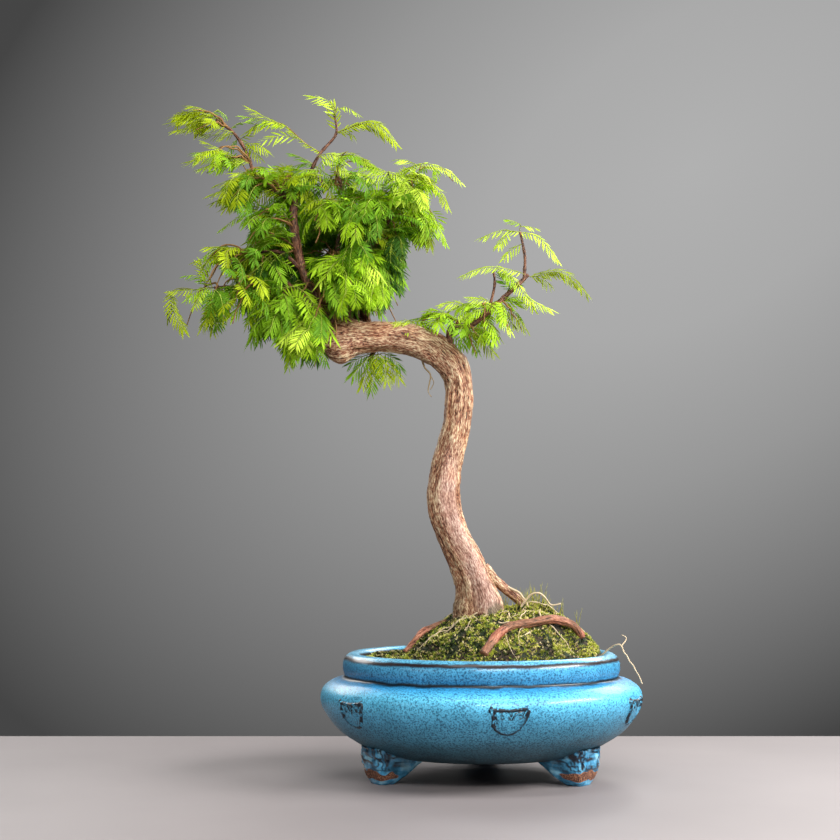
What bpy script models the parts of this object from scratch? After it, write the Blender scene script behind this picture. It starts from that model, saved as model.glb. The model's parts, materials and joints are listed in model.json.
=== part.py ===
"""Dawn redwood bonsai in a round glazed pot on three feet.

The trunk leaves the moss leaning left, turns back over the pot and bends into a level arm that ends in
a burl. The main crown stands on the burl, and a light branch runs out the other way from the bend.

Run with: blender --background --python part.py
Sizes are in millimetres until MM turns them into metres. +Z is up and the front of the pot is at -Y.
While the pieces are being made, X and Y are measured from the axis of the pot and Z from its feet.
"""

import math
import random
from collections import namedtuple

import bmesh
import bpy
from mathutils import Matrix, Vector

MM = 0.001
GAP = 0.3
CUT_GAP = 0.36
SHARPEST_SHELL = 2.5
MERGE_DISTANCE = 0.01
SHARP_ANGLE = 40.0
SEED = 11

# Pot
POT_SEGMENTS = 26
POT_FLOOR_HEIGHT = 20.0
POT_OUTSIDE = (  # radius, height: from the foot ring up to the inner edge of the lip
    (80.0, 20.0), (103.4, 28.3), (111.8, 33.1), (123.3, 40.7), (131.9, 51.2), (138.6, 61.7),
    (140.0, 71.3), (138.6, 78.8), (130.9, 84.6), (119.0, 86.2), (120.5, 92.4), (119.5, 101.8),
    (114.5, 107.0),
)
POT_INSIDE = (  # radius, height: from the lip down to the inner floor
    (108.5, 107.6), (105.0, 102.0), (105.0, 88.0), (128.0, 79.0), (131.0, 66.0), (118.0, 46.0),
    (88.0, 30.0),
)
POT_INNER_FLOOR = 30.0

# Crests on the belly of the pot
CREST_COUNT = 6
CREST_FIRST_ANGLE = 7.5
CREST_HEIGHT = 62.0
CREST_WIDTH = 35.0
CREST_DEPTH = 26.0
CREST_PROUD = 2.4
CREST_BURIED = 3.0
CREST_TOP = (  # the dipped top edge, as shares of the width and of the depth
    (-0.50, 0.40), (-0.30, 0.50), (0.0, 0.26), (0.30, 0.50), (0.50, 0.40),
)
CREST_ROUND_MIDDLE = 0.1
CREST_ROUND_REACH = 0.6
CREST_ROUND_ANGLES = (30, 70, 110, 150)

# Feet of the pot
FOOT_ANGLES = {"foot_front_left": -63.0, "foot_front_right": 57.0, "foot_back": 177.0}
FOOT_PROFILE = (  # distance from the axis of the pot, height
    (109.0, 40.0), (108.0, 24.0), (106.5, 10.0), (103.0, 0.0), (89.0, 0.0), (82.0, 4.0),
    (74.0, 12.0), (61.0, 20.0), (61.0, 40.0),
)
FOOT_HALF_WIDTH_TOP = 21.0
FOOT_HALF_WIDTH_SOLE = 10.0

# Soil and moss
SOIL_RIM_HEIGHT = 103.0
MOUND_CENTRE = (20.0, 8.0)
MOUND_RADII = (92.0, 95.0)
MOUND_RISE = 40.0
MOUND_POWER = 2.6
KNOLL_CENTRE = (50.0, 0.0)
KNOLL_RADIUS = 40.0
KNOLL_RISE = 8.0
LANDING_HEIGHT = 140.0
SOIL_RING_RADII = (26.0, 38.0, 54.0, 71.0, 88.0)
SOIL_UNEVEN = 1.2
SOIL_EDGE_DROP = 1.5

# Trunk: x, y, z and radius at each station from the moss to the end of the burl
TRUNK_STATIONS = (
    (0.0, 0.0, 140.3, 21.5), (-3.0, 0.0, 161.0, 17.4), (-11.0, 2.0, 183.0, 15.8),
    (-24.5, 5.0, 211.5, 14.6), (-32.0, 7.0, 240.0, 14.4), (-28.8, 7.0, 275.0, 12.8),
    (-20.7, 5.0, 310.0, 12.5), (-20.0, 2.0, 345.0, 12.5), (-31.5, 0.0, 365.5, 14.3),
    (-52.0, -2.0, 378.4, 14.6), (-80.0, -4.0, 383.2, 13.2), (-104.0, -5.0, 382.8, 13.6),
    (-123.0, -5.0, 381.0, 17.2), (-135.0, -4.0, 380.0, 13.0), (-142.0, -3.0, 379.0, 6.0),
)
TRUNK_SIDES = 11
TRUNK_STEP = 15.0
TRUNK_SPLIT = 0.585
TRUNK_RIBS = 3
TRUNK_RIB_TWIST = 5.0
TRUNK_RIB_DEPTH = 0.05
FLARE_RIB_DEPTH = 0.11
FLARE_LENGTH = 0.16

# Surface roots: name -> course of x, y, z, with the radius at each end
Root = namedtuple("Root", "name course thick thin")
ROOTS = (
    Root("root_buttress", ((3, 2, 182), (13, 3, 170), (26, 4, 158), (38, 4, 149), (47, 4, 142)), 4.2, 4.0),
    Root("root_front", ((0, -77, 112), (17, -56, 130), (37, -46, 134), (59, -35, 138), (76, -27, 132),
                        (86, -21, 121)), 4.6, 3.6),
    Root("root_left", ((-65, -6, 107), (-57, -4, 118), (-49, -2, 126), (-37, 0, 132), (-27, 2, 135)),
         3.6, 3.2),
)
ROOT_SIDES = 8
ROOT_STEP = 11.0

# Boughs: the limb each one leaves, how far along it, then the course and the radius at each end
Limb = namedtuple("Limb", "name parent along course thick thin")
LIMBS = (
    Limb("leader", "trunk", 0.93, ((-139, -10, 412), (-154, -14, 436), (-161, -15, 462), (-164, -14, 486),
                                   (-164, -12, 508)), 5.4, 3.0),
    Limb("bough_centre", "trunk", 0.90, ((-126, 8, 426), (-127, 8, 457), (-121, 4, 486), (-119, 2, 505),
                                         (-127, 4, 530)), 4.6, 1.6),
    Limb("bough_right", "trunk", 0.865, ((-108, 18, 427), (-100, 22, 464), (-84, 18, 487), (-74, 12, 502),
                                         (-68, 8, 515)), 4.4, 1.6),
    Limb("bough_back_left", "trunk", 0.915, ((-148, 40, 421), (-168, 66, 452), (-178, 80, 484)), 4.2, 1.8),
    Limb("bough_back_right", "trunk", 0.885, ((-115, 45, 426), (-107, 72, 467), (-101, 84, 498)), 4.2, 1.8),
    Limb("bough_left_reach", "leader", 0.22, ((-161, -20, 416), (-183, -28, 421), (-208, -34, 424),
                                              (-231, -36, 423)), 3.2, 1.4),
    Limb("bough_left_low", "leader", 0.50, ((-171, -20, 454), (-186, -24, 457), (-200, -26, 453),
                                            (-212, -26, 445)), 2.4, 1.3),
    Limb("twig_left", "leader", 0.97, ((-180, -8, 512), (-199, -3, 528), (-206, -1, 546), (-218, -2, 565),
                                       (-234, -6, 577)), 2.2, 1.2),
    Limb("twig_top", "leader", 0.95, ((-153, -4, 525), (-142, 2, 548), (-128, 4, 566), (-130, 4, 585)), 2.0, 1.0),
    Limb("branch_right", "trunk", 0.635, ((-27, -8, 389), (-10, -12, 393), (6, -14, 404), (21, -12, 418),
                                          (42, -8, 438)), 3.4, 1.7),
    Limb("branch_upper", "branch_right", 0.96, ((39, -8, 455), (35, -8, 476)), 1.5, 1.1),
    Limb("branch_middle", "branch_right", 0.60, ((12, -16, 427), (11, -18, 440)), 1.3, 1.1),
    Limb("spur_under", "trunk", 0.835, ((-97, 4, 366), (-93, 2, 357)), 2.4, 1.6),
)
LIMB_SIDES = 5
LIMB_STEP = 18.0

# Foliage: each mass leaves its limb at a fraction along it and points by heading, where 0 is +X and
# -90 the front. It reaches and rises that far, starts a little behind the limb, and arches as it goes.
Mass = namedtuple("Mass", "name limb along heading reach rise behind width thick arch")
MASSES = (
    Mass("foliage_top_left", "twig_left", 0.86, -168, 50, 8, 2, 46, 28, 6),
    Mass("foliage_left_bright", "twig_left", 0.52, -150, 60, -3, 0, 42, 26, 9),
    Mass("foliage_top_feather", "twig_top", 0.60, 176, 72, 32, 0, 30, 18, 7),
    Mass("foliage_top_apex", "twig_top", 0.92, -95, 6, 24, 2, 48, 24, 0),
    Mass("foliage_top_right", "twig_top", 0.76, -10, 57, -10, 0, 36, 20, 15),
    Mass("foliage_right_crest", "bough_right", 0.97, 1, 54, 14, 4, 32, 18, 19),
    Mass("foliage_right_high", "bough_right", 0.88, -27, 52, 5, 10, 44, 32, 20),
    Mass("foliage_right_mid", "bough_right", 0.76, -19, 56, -22, 0, 42, 28, 22),
    Mass("foliage_upper_centre", "bough_centre", 0.93, -12, 34, 24, 44, 54, 34, 7),
    Mass("foliage_centre_star", "bough_centre", 0.70, -95, 70, -20, 0, 60, 30, 18),
    Mass("foliage_right_shoulder", "bough_right", 0.74, -98, 62, 10, 14, 62, 46, 12),
    Mass("foliage_left_mid", "twig_left", 0.15, -168, 60, -8, 12, 56, 38, 14),
    Mass("foliage_left_spike", "leader", 0.78, -163, 66, -8, 4, 42, 24, 14),
    Mass("foliage_left_inner", "leader", 0.66, 156, 52, -4, 8, 62, 50, 2),
    Mass("foliage_left_shelf", "bough_left_low", 0.85, -154, 58, -32, 14, 56, 38, 15),
    Mass("foliage_left_tip", "bough_left_reach", 0.96, -174, 42, -34, 0, 42, 24, 17),
    Mass("foliage_left_reach", "bough_left_reach", 0.68, -140, 48, -37, 6, 48, 32, 14),
    Mass("foliage_left_drop", "bough_left_reach", 0.36, -142, 36, -46, 10, 50, 38, 10),
    Mass("foliage_front_cascade", "leader", 0.24, -98, 70, -46, 0, 66, 36, 27),
    Mass("foliage_hang_low", "leader", 0.17, 146, 44, -48, 0, 46, 30, 10),
    Mass("foliage_centre_front", "bough_centre", 0.38, -75, 86, -34, 0, 76, 38, 26),
    Mass("foliage_right_low", "bough_right", 0.42, -40, 46, -38, 6, 60, 50, 18),
    Mass("foliage_back_top", "bough_back_left", 0.96, 6, 74, 40, 10, 78, 46, 12),
    Mass("foliage_back_left", "bough_back_left", 0.84, 165, 52, -4, 34, 96, 70, 16),
    Mass("foliage_back_right", "bough_back_right", 0.84, 18, 44, -8, 34, 96, 66, 16),
    Mass("foliage_back_low", "bough_back_left", 0.40, 118, 58, -28, 10, 84, 48, 20),
    Mass("foliage_core", "bough_centre", 0.50, 165, 36, 0, 46, 66, 60, 4),
    Mass("foliage_core_low", "bough_back_right", 0.28, -10, 40, -2, 34, 62, 44, 10),
    Mass("foliage_under_trunk", "spur_under", 0.72, -95, 8, -25, 4, 50, 34, 0),
    Mass("foliage_branch_near", "branch_right", 0.26, -168, 54, 6, 0, 26, 14, 8),
    Mass("foliage_branch_low", "branch_right", 0.38, -165, 46, 8, 8, 46, 22, 8),
    Mass("foliage_branch_mid", "branch_right", 0.60, -71, 32, -26, 12, 42, 22, 16),
    Mass("foliage_branch_under", "branch_right", 0.42, -24, 20, -28, 0, 36, 28, 3),
    Mass("foliage_branch_outer", "branch_right", 0.72, -12, 22, -30, 0, 28, 22, 6),
    Mass("foliage_branch_crest", "branch_middle", 0.94, -9, 52, -34, 28, 28, 16, 20),
    Mass("foliage_branch_top", "branch_upper", 0.92, -14, 34, -26, 34, 32, 18, 25),
    Mass("foliage_branch_tip", "branch_right", 0.98, -13, 55, -18, 0, 36, 18, 17),
)
MASS_SIDES = 6
MASS_RINGS = (0.06, 0.25, 0.50, 0.74, 0.93)
MASS_FULLEST = 0.8
MASS_BLUNT = 0.6
MASS_UNEVEN = 0.15
MASS_EDGE_DROOP = 0.15
MASS_BELLY = 0.75

# Colour in linear light, roughness and metallic value of each finish
FINISHES = {
    "glaze": ((0.045, 0.27, 0.50), 0.22, 0.0),
    "fired_clay": ((0.16, 0.06, 0.03), 0.80, 0.0),
    "moss": ((0.10, 0.13, 0.025), 0.95, 0.0),
    "bark": ((0.30, 0.16, 0.10), 0.85, 0.0),
    "twig": ((0.16, 0.07, 0.035), 0.80, 0.0),
    "needles": ((0.16, 0.38, 0.03), 0.60, 0.0),
}


def clear_scene():
    for thing in list(bpy.data.objects):
        bpy.data.objects.remove(thing, do_unlink=True)


def finish(name):
    """Material with the colour and gloss listed for that finish."""
    found = bpy.data.materials.get(name)
    if found:
        return found
    colour, roughness, metallic = FINISHES[name]
    made = bpy.data.materials.new(name)
    made.use_nodes = True
    shader = made.node_tree.nodes["Principled BSDF"]
    shader.inputs["Base Color"].default_value = (*colour, 1.0)
    shader.inputs["Roughness"].default_value = roughness
    shader.inputs["Metallic"].default_value = metallic
    made.diffuse_color = (*colour, 1.0)
    return made


def add_object(name, shape, finish_name, smooth=True):
    """Scene object that owns the bmesh given, scaled from millimetres to metres."""
    bmesh.ops.scale(shape, vec=Vector((MM, MM, MM)), verts=shape.verts)
    bmesh.ops.recalc_face_normals(shape, faces=shape.faces)
    mesh = bpy.data.meshes.new(name)
    shape.to_mesh(mesh)
    shape.free()
    if smooth:
        mesh.shade_smooth()
        mesh.set_sharp_from_angle(angle=math.radians(SHARP_ANGLE))
    mesh.materials.append(finish(finish_name))
    thing = bpy.data.objects.new(name, mesh)
    bpy.context.scene.collection.objects.link(thing)
    return thing


def smooth_course(stations, step):
    """Points about one step apart on a smooth curve through the stations, every column blended alike."""
    columns = len(stations[0])
    padded = [stations[0], *stations, stations[-1]]
    course = []
    for before, start, end, after in zip(padded, padded[1:], padded[2:], padded[3:]):
        count = max(1, round(math.dist(start[:3], end[:3]) / step))
        for index in range(count):
            t = index / count
            course.append(tuple(
                0.5 * (2 * start[c] + (end[c] - before[c]) * t
                       + (2 * before[c] - 5 * start[c] + 4 * end[c] - after[c]) * t * t
                       + (3 * start[c] - before[c] - 3 * end[c] + after[c]) * t ** 3)
                for c in range(columns)))
    course.append(tuple(stations[-1]))
    return course


def point_along(course, fraction):
    """Point at that fraction of the length of a course."""
    lengths = [math.dist(a[:3], b[:3]) for a, b in zip(course, course[1:])]
    left = sum(lengths) * fraction
    for a, b, length in zip(course, course[1:], lengths):
        if left <= length:
            return Vector(a[:3]).lerp(Vector(b[:3]), left / length)
        left -= length
    return Vector(course[-1][:3])


def rings_round(course, sides, outline, first_direction=None):
    """Ring of points round each course point, square to the course, and the direction there."""
    centres = [Vector(point[:3]) for point in course]
    directions = []
    for index in range(len(centres)):
        ahead = centres[min(index + 1, len(centres) - 1)]
        behind = centres[max(index - 1, 0)]
        directions.append((ahead - behind).normalized())
    if first_direction:
        directions[0] = Vector(first_direction)
    across = directions[0].orthogonal().normalized()
    rings = []
    for index, (centre, direction) in enumerate(zip(centres, directions)):
        across = (across - direction * across.dot(direction)).normalized()
        beside = direction.cross(across)
        along = index / (len(centres) - 1)
        ring = []
        for side in range(sides):
            angle = 2 * math.pi * side / sides
            radius = course[index][3] * outline(angle, along)
            ring.append(centre + (across * math.cos(angle) + beside * math.sin(angle)) * radius)
        rings.append(ring)
    return rings, directions


def round_outline(angle, along):
    return 1.0


def trunk_outline(angle, along):
    """Three soft ribs that deepen into the root flare."""
    flare = max(0.0, 1.0 - along / FLARE_LENGTH)
    depth = TRUNK_RIB_DEPTH + FLARE_RIB_DEPTH * flare
    return 1.0 + depth * math.cos(TRUNK_RIBS * angle + TRUNK_RIB_TWIST * along)


def skin_rings(rings):
    """Closed bmesh over a row of rings, with a flat face at each end."""
    shape = bmesh.new()
    rows = [[shape.verts.new(point) for point in ring] for ring in rings]
    sides = len(rows[0])
    for lower, upper in zip(rows, rows[1:]):
        for side in range(sides):
            after = (side + 1) % sides
            shape.faces.new((lower[side], lower[after], upper[after], upper[side]))
    shape.faces.new(list(reversed(rows[0])))
    shape.faces.new(rows[-1])
    return shape


def tapered_course(course, thick, thin, step):
    """Smooth course whose radius runs evenly from thick to thin."""
    plain = smooth_course([(*point, 0.0) for point in course], step)
    last = len(plain) - 1
    return [(*point[:3], thick + (thin - thick) * index / last) for index, point in enumerate(plain)]


def grown_copy(thing):
    """Copy of an object whose faces stand CUT_GAP further out, for cutting its neighbours."""
    shape = bmesh.new()
    shape.from_mesh(thing.data)
    shape.normal_update()
    moves = [vertex.normal * min(vertex.calc_shell_factor(), SHARPEST_SHELL) * CUT_GAP * MM
             for vertex in shape.verts]
    for vertex, move in zip(shape.verts, moves):
        vertex.co += move
    mesh = bpy.data.meshes.new(thing.name + "_grown")
    shape.to_mesh(mesh)
    shape.free()
    copy = bpy.data.objects.new(mesh.name, mesh)
    copy.hide_render = True
    copy.display_type = "WIRE"
    bpy.context.scene.collection.objects.link(copy)
    return copy


def boxes_meet(first, second):
    """True where the boxes round two objects share some space."""
    for axis in range(3):
        low_a, *_, high_a = sorted(corner[axis] for corner in first.bound_box)
        low_b, *_, high_b = sorted(corner[axis] for corner in second.bound_box)
        if low_a > high_b or low_b > high_a:
            return False
    return True


def keep_largest(shape):
    """Remove every loose island of a bmesh but the one with the largest volume."""
    islands = []
    waiting = set(shape.verts)
    while waiting:
        stack = [waiting.pop()]
        island = set(stack)
        while stack:
            for edge in stack.pop().link_edges:
                for vertex in edge.verts:
                    if vertex not in island:
                        island.add(vertex)
                        stack.append(vertex)
        waiting -= island
        islands.append(island)
    if len(islands) < 2:
        return

    def volume(island):
        total = 0.0
        for face in {face for vertex in island for face in vertex.link_faces}:
            points = [vertex.co for vertex in face.verts]
            for b, c in zip(points[1:], points[2:]):
                total += points[0].dot(b.cross(c))
        return total

    largest = max(islands, key=volume)
    loose = [vertex for island in islands if island is not largest for vertex in island]
    bmesh.ops.delete(shape, geom=loose, context="VERTS")


def apply_boolean(thing, tool, operation):
    """Boolean of one object with another, applied to its mesh and tidied."""
    modifier = thing.modifiers.new("shape", "BOOLEAN")
    modifier.operation = operation
    modifier.solver = "EXACT"
    modifier.object = tool
    result = bpy.data.meshes.new_from_object(thing.evaluated_get(bpy.context.evaluated_depsgraph_get()))
    thing.modifiers.remove(modifier)
    shape = bmesh.new()
    shape.from_mesh(result)
    bmesh.ops.dissolve_degenerate(shape, edges=shape.edges, dist=MERGE_DISTANCE * MM)
    bmesh.ops.remove_doubles(shape, verts=shape.verts, dist=MERGE_DISTANCE * MM)
    keep_largest(shape)
    shape.to_mesh(thing.data)
    shape.free()
    bpy.data.meshes.remove(result)


def cut_clear(thing, cutters):
    """Cut an object back with the grown copy of each neighbour that it meets."""
    for cutter in cutters:
        if boxes_meet(thing, cutter):
            apply_boolean(thing, cutter, "DIFFERENCE")


def turned(profile):
    """Closed bmesh spun round the Z axis from a profile that starts and ends on it."""
    shape = bmesh.new()
    points = [shape.verts.new((radius, 0.0, height)) for radius, height in profile]
    edges = [shape.edges.new(pair) for pair in zip(points, points[1:])]
    bmesh.ops.spin(shape, geom=points + edges, angle=2 * math.pi, steps=POT_SEGMENTS, axis=(0, 0, 1),
                   cent=(0, 0, 0), use_merge=True)
    bmesh.ops.remove_doubles(shape, verts=shape.verts, dist=MERGE_DISTANCE)
    return shape


def belly_radius(height):
    """Radius of the outside of the pot at a height."""
    for (r0, z0), (r1, z1) in zip(POT_OUTSIDE, POT_OUTSIDE[1:]):
        if z0 <= height <= z1:
            return r0 + (r1 - r0) * (height - z0) / (z1 - z0)
    return POT_OUTSIDE[-1][0]


def crest_outline():
    """Shield seen from outside: a dipped top edge and a rounded foot, as shares of width and depth."""
    foot = [(0.5 * math.cos(math.radians(angle)),
             CREST_ROUND_MIDDLE - CREST_ROUND_REACH * math.sin(math.radians(angle)))
            for angle in CREST_ROUND_ANGLES]
    return [*CREST_TOP, *foot]


def build_crest(angle):
    """One crest, bent to the belly and reaching a little way into its wall."""
    shape = bmesh.new()
    rows = []
    for stand in (-CREST_BURIED, CREST_PROUD):
        row = []
        for across, up in crest_outline():
            height = CREST_HEIGHT + up * CREST_DEPTH
            radius = belly_radius(height)
            turn = math.radians(angle) + across * CREST_WIDTH / radius
            out = radius + stand
            row.append(shape.verts.new((out * math.sin(turn), -out * math.cos(turn), height)))
        rows.append(row)
    count = len(rows[0])
    for index in range(count):
        after = (index + 1) % count
        shape.faces.new((rows[0][index], rows[0][after], rows[1][after], rows[1][index]))
    shape.faces.new(rows[0])
    shape.faces.new(rows[1])
    bmesh.ops.triangulate(shape, faces=[face for face in shape.faces if len(face.verts) > 4])
    return add_object("crest", shape, "glaze")


def build_pot():
    """Bowl with a waisted lip, hollow for the soil, and six crests round its belly."""
    profile = [(0.0, POT_FLOOR_HEIGHT), *POT_OUTSIDE, *POT_INSIDE, (0.0, POT_INNER_FLOOR)]
    pot = add_object("pot", turned(profile), "glaze")
    for index in range(CREST_COUNT):
        crest = build_crest(CREST_FIRST_ANGLE + index * 360.0 / CREST_COUNT)
        apply_boolean(pot, crest, "UNION")
        bpy.data.objects.remove(crest, do_unlink=True)
    return pot


def build_feet(pot):
    """Three wedge feet with flat soles, cut to the underside of the bowl."""
    feet = []
    bowl = grown_copy(pot)
    top_height = FOOT_PROFILE[0][1]
    for name, angle in FOOT_ANGLES.items():
        shape = bmesh.new()
        walls = []
        for side in (-1, 1):
            wall = []
            for out, height in FOOT_PROFILE:
                share = height / top_height
                half = FOOT_HALF_WIDTH_SOLE + (FOOT_HALF_WIDTH_TOP - FOOT_HALF_WIDTH_SOLE) * share
                wall.append(shape.verts.new((side * half, -out, height)))
            walls.append(wall)
        count = len(FOOT_PROFILE)
        for index in range(count):
            after = (index + 1) % count
            shape.faces.new((walls[0][index], walls[0][after], walls[1][after], walls[1][index]))
        shape.faces.new(walls[0])
        shape.faces.new(walls[1])
        bmesh.ops.triangulate(shape, faces=[face for face in shape.faces if len(face.verts) > 4])
        bmesh.ops.rotate(shape, matrix=Matrix.Rotation(math.radians(angle), 3, "Z"), verts=shape.verts)
        foot = add_object(name, shape, "fired_clay")
        cut_clear(foot, [bowl])
        feet.append(foot)
    return feet


def mound_height(x, y):
    """Height of the moss over a point of the pot, before its unevenness."""
    across = math.hypot((x - MOUND_CENTRE[0]) / MOUND_RADII[0], (y - MOUND_CENTRE[1]) / MOUND_RADII[1])
    mound = MOUND_RISE * max(0.0, 1.0 - across ** MOUND_POWER)
    away = math.hypot(x - KNOLL_CENTRE[0], y - KNOLL_CENTRE[1]) / KNOLL_RADIUS
    knoll = KNOLL_RISE * 0.5 * (1.0 + math.cos(math.pi * min(1.0, away)))
    return SOIL_RIM_HEIGHT + mound + knoll


def build_soil():
    """Soil that fills the bowl and mounds up to a flat landing under the trunk."""
    rng = random.Random(SEED)
    shape = bmesh.new()

    def ring(radius, height_at):
        row = []
        for side in range(POT_SEGMENTS):
            angle = 2 * math.pi * side / POT_SEGMENTS
            x, y = radius * math.cos(angle), radius * math.sin(angle)
            row.append(shape.verts.new((x, y, height_at(x, y))))
        return row

    def uneven_mound(x, y):
        return mound_height(x, y) + rng.uniform(-SOIL_UNEVEN, SOIL_UNEVEN)

    middle_height = (SOIL_RIM_HEIGHT + POT_INNER_FLOOR) / 2
    clear_inside = [(radius - GAP, height + math.copysign(GAP, middle_height - height))
                    for radius, height in POT_INSIDE[1:]]
    rows = [ring(SOIL_RING_RADII[0], lambda x, y: LANDING_HEIGHT)]
    rows += [ring(radius, uneven_mound) for radius in SOIL_RING_RADII[1:]]
    rows.append(ring(clear_inside[0][0], lambda x, y: SOIL_RIM_HEIGHT - SOIL_EDGE_DROP))
    rows += [ring(radius, lambda x, y, height=height: height) for radius, height in clear_inside[1:]]
    for outer, inner in zip(rows, rows[1:]):
        for side in range(POT_SEGMENTS):
            after = (side + 1) % POT_SEGMENTS
            shape.faces.new((outer[side], outer[after], inner[after], inner[side]))
    for row, height in ((rows[0], LANDING_HEIGHT), (rows[-1], POT_INNER_FLOOR + GAP)):
        middle = shape.verts.new((0.0, 0.0, height))
        for side in range(POT_SEGMENTS):
            shape.faces.new((row[side], row[(side + 1) % POT_SEGMENTS], middle))
    bmesh.ops.triangulate(shape, faces=shape.faces)
    return add_object("soil", shape, "moss")


def build_trunk():
    """Trunk in two solids that meet square across the bend, and its whole course."""
    course = smooth_course(TRUNK_STATIONS, TRUNK_STEP)
    rings, directions = rings_round(course, TRUNK_SIDES, trunk_outline, first_direction=(0, 0, 1))
    split = round(TRUNK_SPLIT * (len(rings) - 1))
    half_gap = directions[split] * (GAP / 2)
    lower = rings[:split] + [[point - half_gap for point in rings[split]]]
    upper = [[point + half_gap for point in rings[split]]] + rings[split + 1:]
    halves = [add_object("trunk_lower", skin_rings(lower), "bark"),
              add_object("trunk_upper", skin_rings(upper), "bark")]
    return halves, course


def build_roots(cutters):
    """Three roots that run over the moss, cut to what they lie on."""
    roots = []
    for root in ROOTS:
        course = tapered_course(root.course, root.thick, root.thin, ROOT_STEP)
        rings, _ = rings_round(course, ROOT_SIDES, round_outline)
        thing = add_object(root.name, skin_rings(rings), "bark")
        cut_clear(thing, cutters)
        roots.append(thing)
    return roots


def build_limbs(trunk_course, cutters):
    """Every bough and bare twig, each leaving the limb named as its parent, and all their courses."""
    courses = {"trunk": trunk_course}
    limbs = []
    for limb in LIMBS:
        start = point_along(courses[limb.parent], limb.along)
        course = tapered_course([tuple(start), *limb.course], limb.thick, limb.thin, LIMB_STEP)
        rings, _ = rings_round(course, LIMB_SIDES, round_outline)
        thing = add_object(limb.name, skin_rings(rings), "twig")
        cutter = grown_copy(thing)
        cut_clear(thing, cutters)
        cutters.append(cutter)
        courses[limb.name] = course
        limbs.append(thing)
    return limbs, courses


def mass_shape(rng, start, tip, level, mass):
    """Closed pad of foliage on an arched spine, uneven all round, its edges drooping."""
    shape = bmesh.new()
    run = tip - start
    beside = level.cross(Vector((0, 0, 1)))

    def spine(t):
        return start + run * t + Vector((0, 0, mass.arch * 4 * t * (1 - t)))

    rows = []
    for t in MASS_RINGS:
        ahead = (spine(t + 0.02) - spine(t - 0.02)).normalized()
        over = beside.cross(ahead)
        swell = math.sin(math.pi * t ** MASS_FULLEST) ** MASS_BLUNT
        row = []
        for side in range(MASS_SIDES):
            angle = 2 * math.pi * side / MASS_SIDES
            uneven = 1.0 + rng.uniform(-MASS_UNEVEN, MASS_UNEVEN)
            out = mass.width / 2 * swell * math.cos(angle) * uneven
            up = mass.thick / 2 * swell * math.sin(angle) * uneven
            if up < 0:
                up *= MASS_BELLY
            point = spine(t) + beside * out + over * up
            point.z -= MASS_EDGE_DROOP * abs(out) * abs(math.cos(angle))
            row.append(shape.verts.new(point))
        rows.append(row)
    for first, second in zip(rows, rows[1:]):
        for side in range(MASS_SIDES):
            after = (side + 1) % MASS_SIDES
            shape.faces.new((first[side], first[after], second[after], second[side]))
    for row, end in ((rows[0], start), (rows[-1], tip)):
        point = shape.verts.new(end)
        for side in range(MASS_SIDES):
            shape.faces.new((row[side], row[(side + 1) % MASS_SIDES], point))
    bmesh.ops.triangulate(shape, faces=shape.faces)
    return shape


def build_masses(courses, cutters):
    """Every mass of foliage, cut clear of the limbs and of the masses made before it."""
    rng = random.Random(SEED)
    masses = []
    for mass in MASSES:
        base = point_along(courses[mass.limb], mass.along)
        heading = math.radians(mass.heading)
        level = Vector((math.cos(heading), math.sin(heading), 0.0))
        start = base - level * mass.behind
        tip = base + level * mass.reach + Vector((0, 0, mass.rise))
        thing = add_object(mass.name, mass_shape(rng, start, tip, level, mass), "needles")
        cutter = grown_copy(thing)
        cut_clear(thing, cutters)
        cutters.append(cutter)
        masses.append(thing)
    return masses


def stand_on_floor(things):
    """Carry every piece on one empty, so that the whole stands on Z = 0, centred on X and Y."""
    corners = [thing.matrix_world @ vertex.co for thing in things for vertex in thing.data.vertices]
    low = [min(corner[axis] for corner in corners) for axis in range(3)]
    high = [max(corner[axis] for corner in corners) for axis in range(3)]
    middle = Vector(((low[0] + high[0]) / 2, (low[1] + high[1]) / 2, low[2]))
    base = bpy.data.objects.new("bonsai", None)
    bpy.context.scene.collection.objects.link(base)
    base.location = -middle
    for thing in things:
        thing.parent = base


def main():
    clear_scene()
    pot = build_pot()
    feet = build_feet(pot)
    soil = build_soil()
    trunk_halves, trunk_course = build_trunk()
    cutters = [grown_copy(half) for half in trunk_halves]
    roots = build_roots([*cutters, grown_copy(soil)])
    limbs, courses = build_limbs(trunk_course, cutters)
    masses = build_masses(courses, cutters)
    stand_on_floor([pot, soil, *feet, *trunk_halves, *roots, *limbs, *masses])
    for thing in list(bpy.data.objects):
        if thing.hide_render:
            bpy.data.objects.remove(thing, do_unlink=True)


main()
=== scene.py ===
import itertools
import json
import math
from collections import defaultdict, namedtuple

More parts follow.
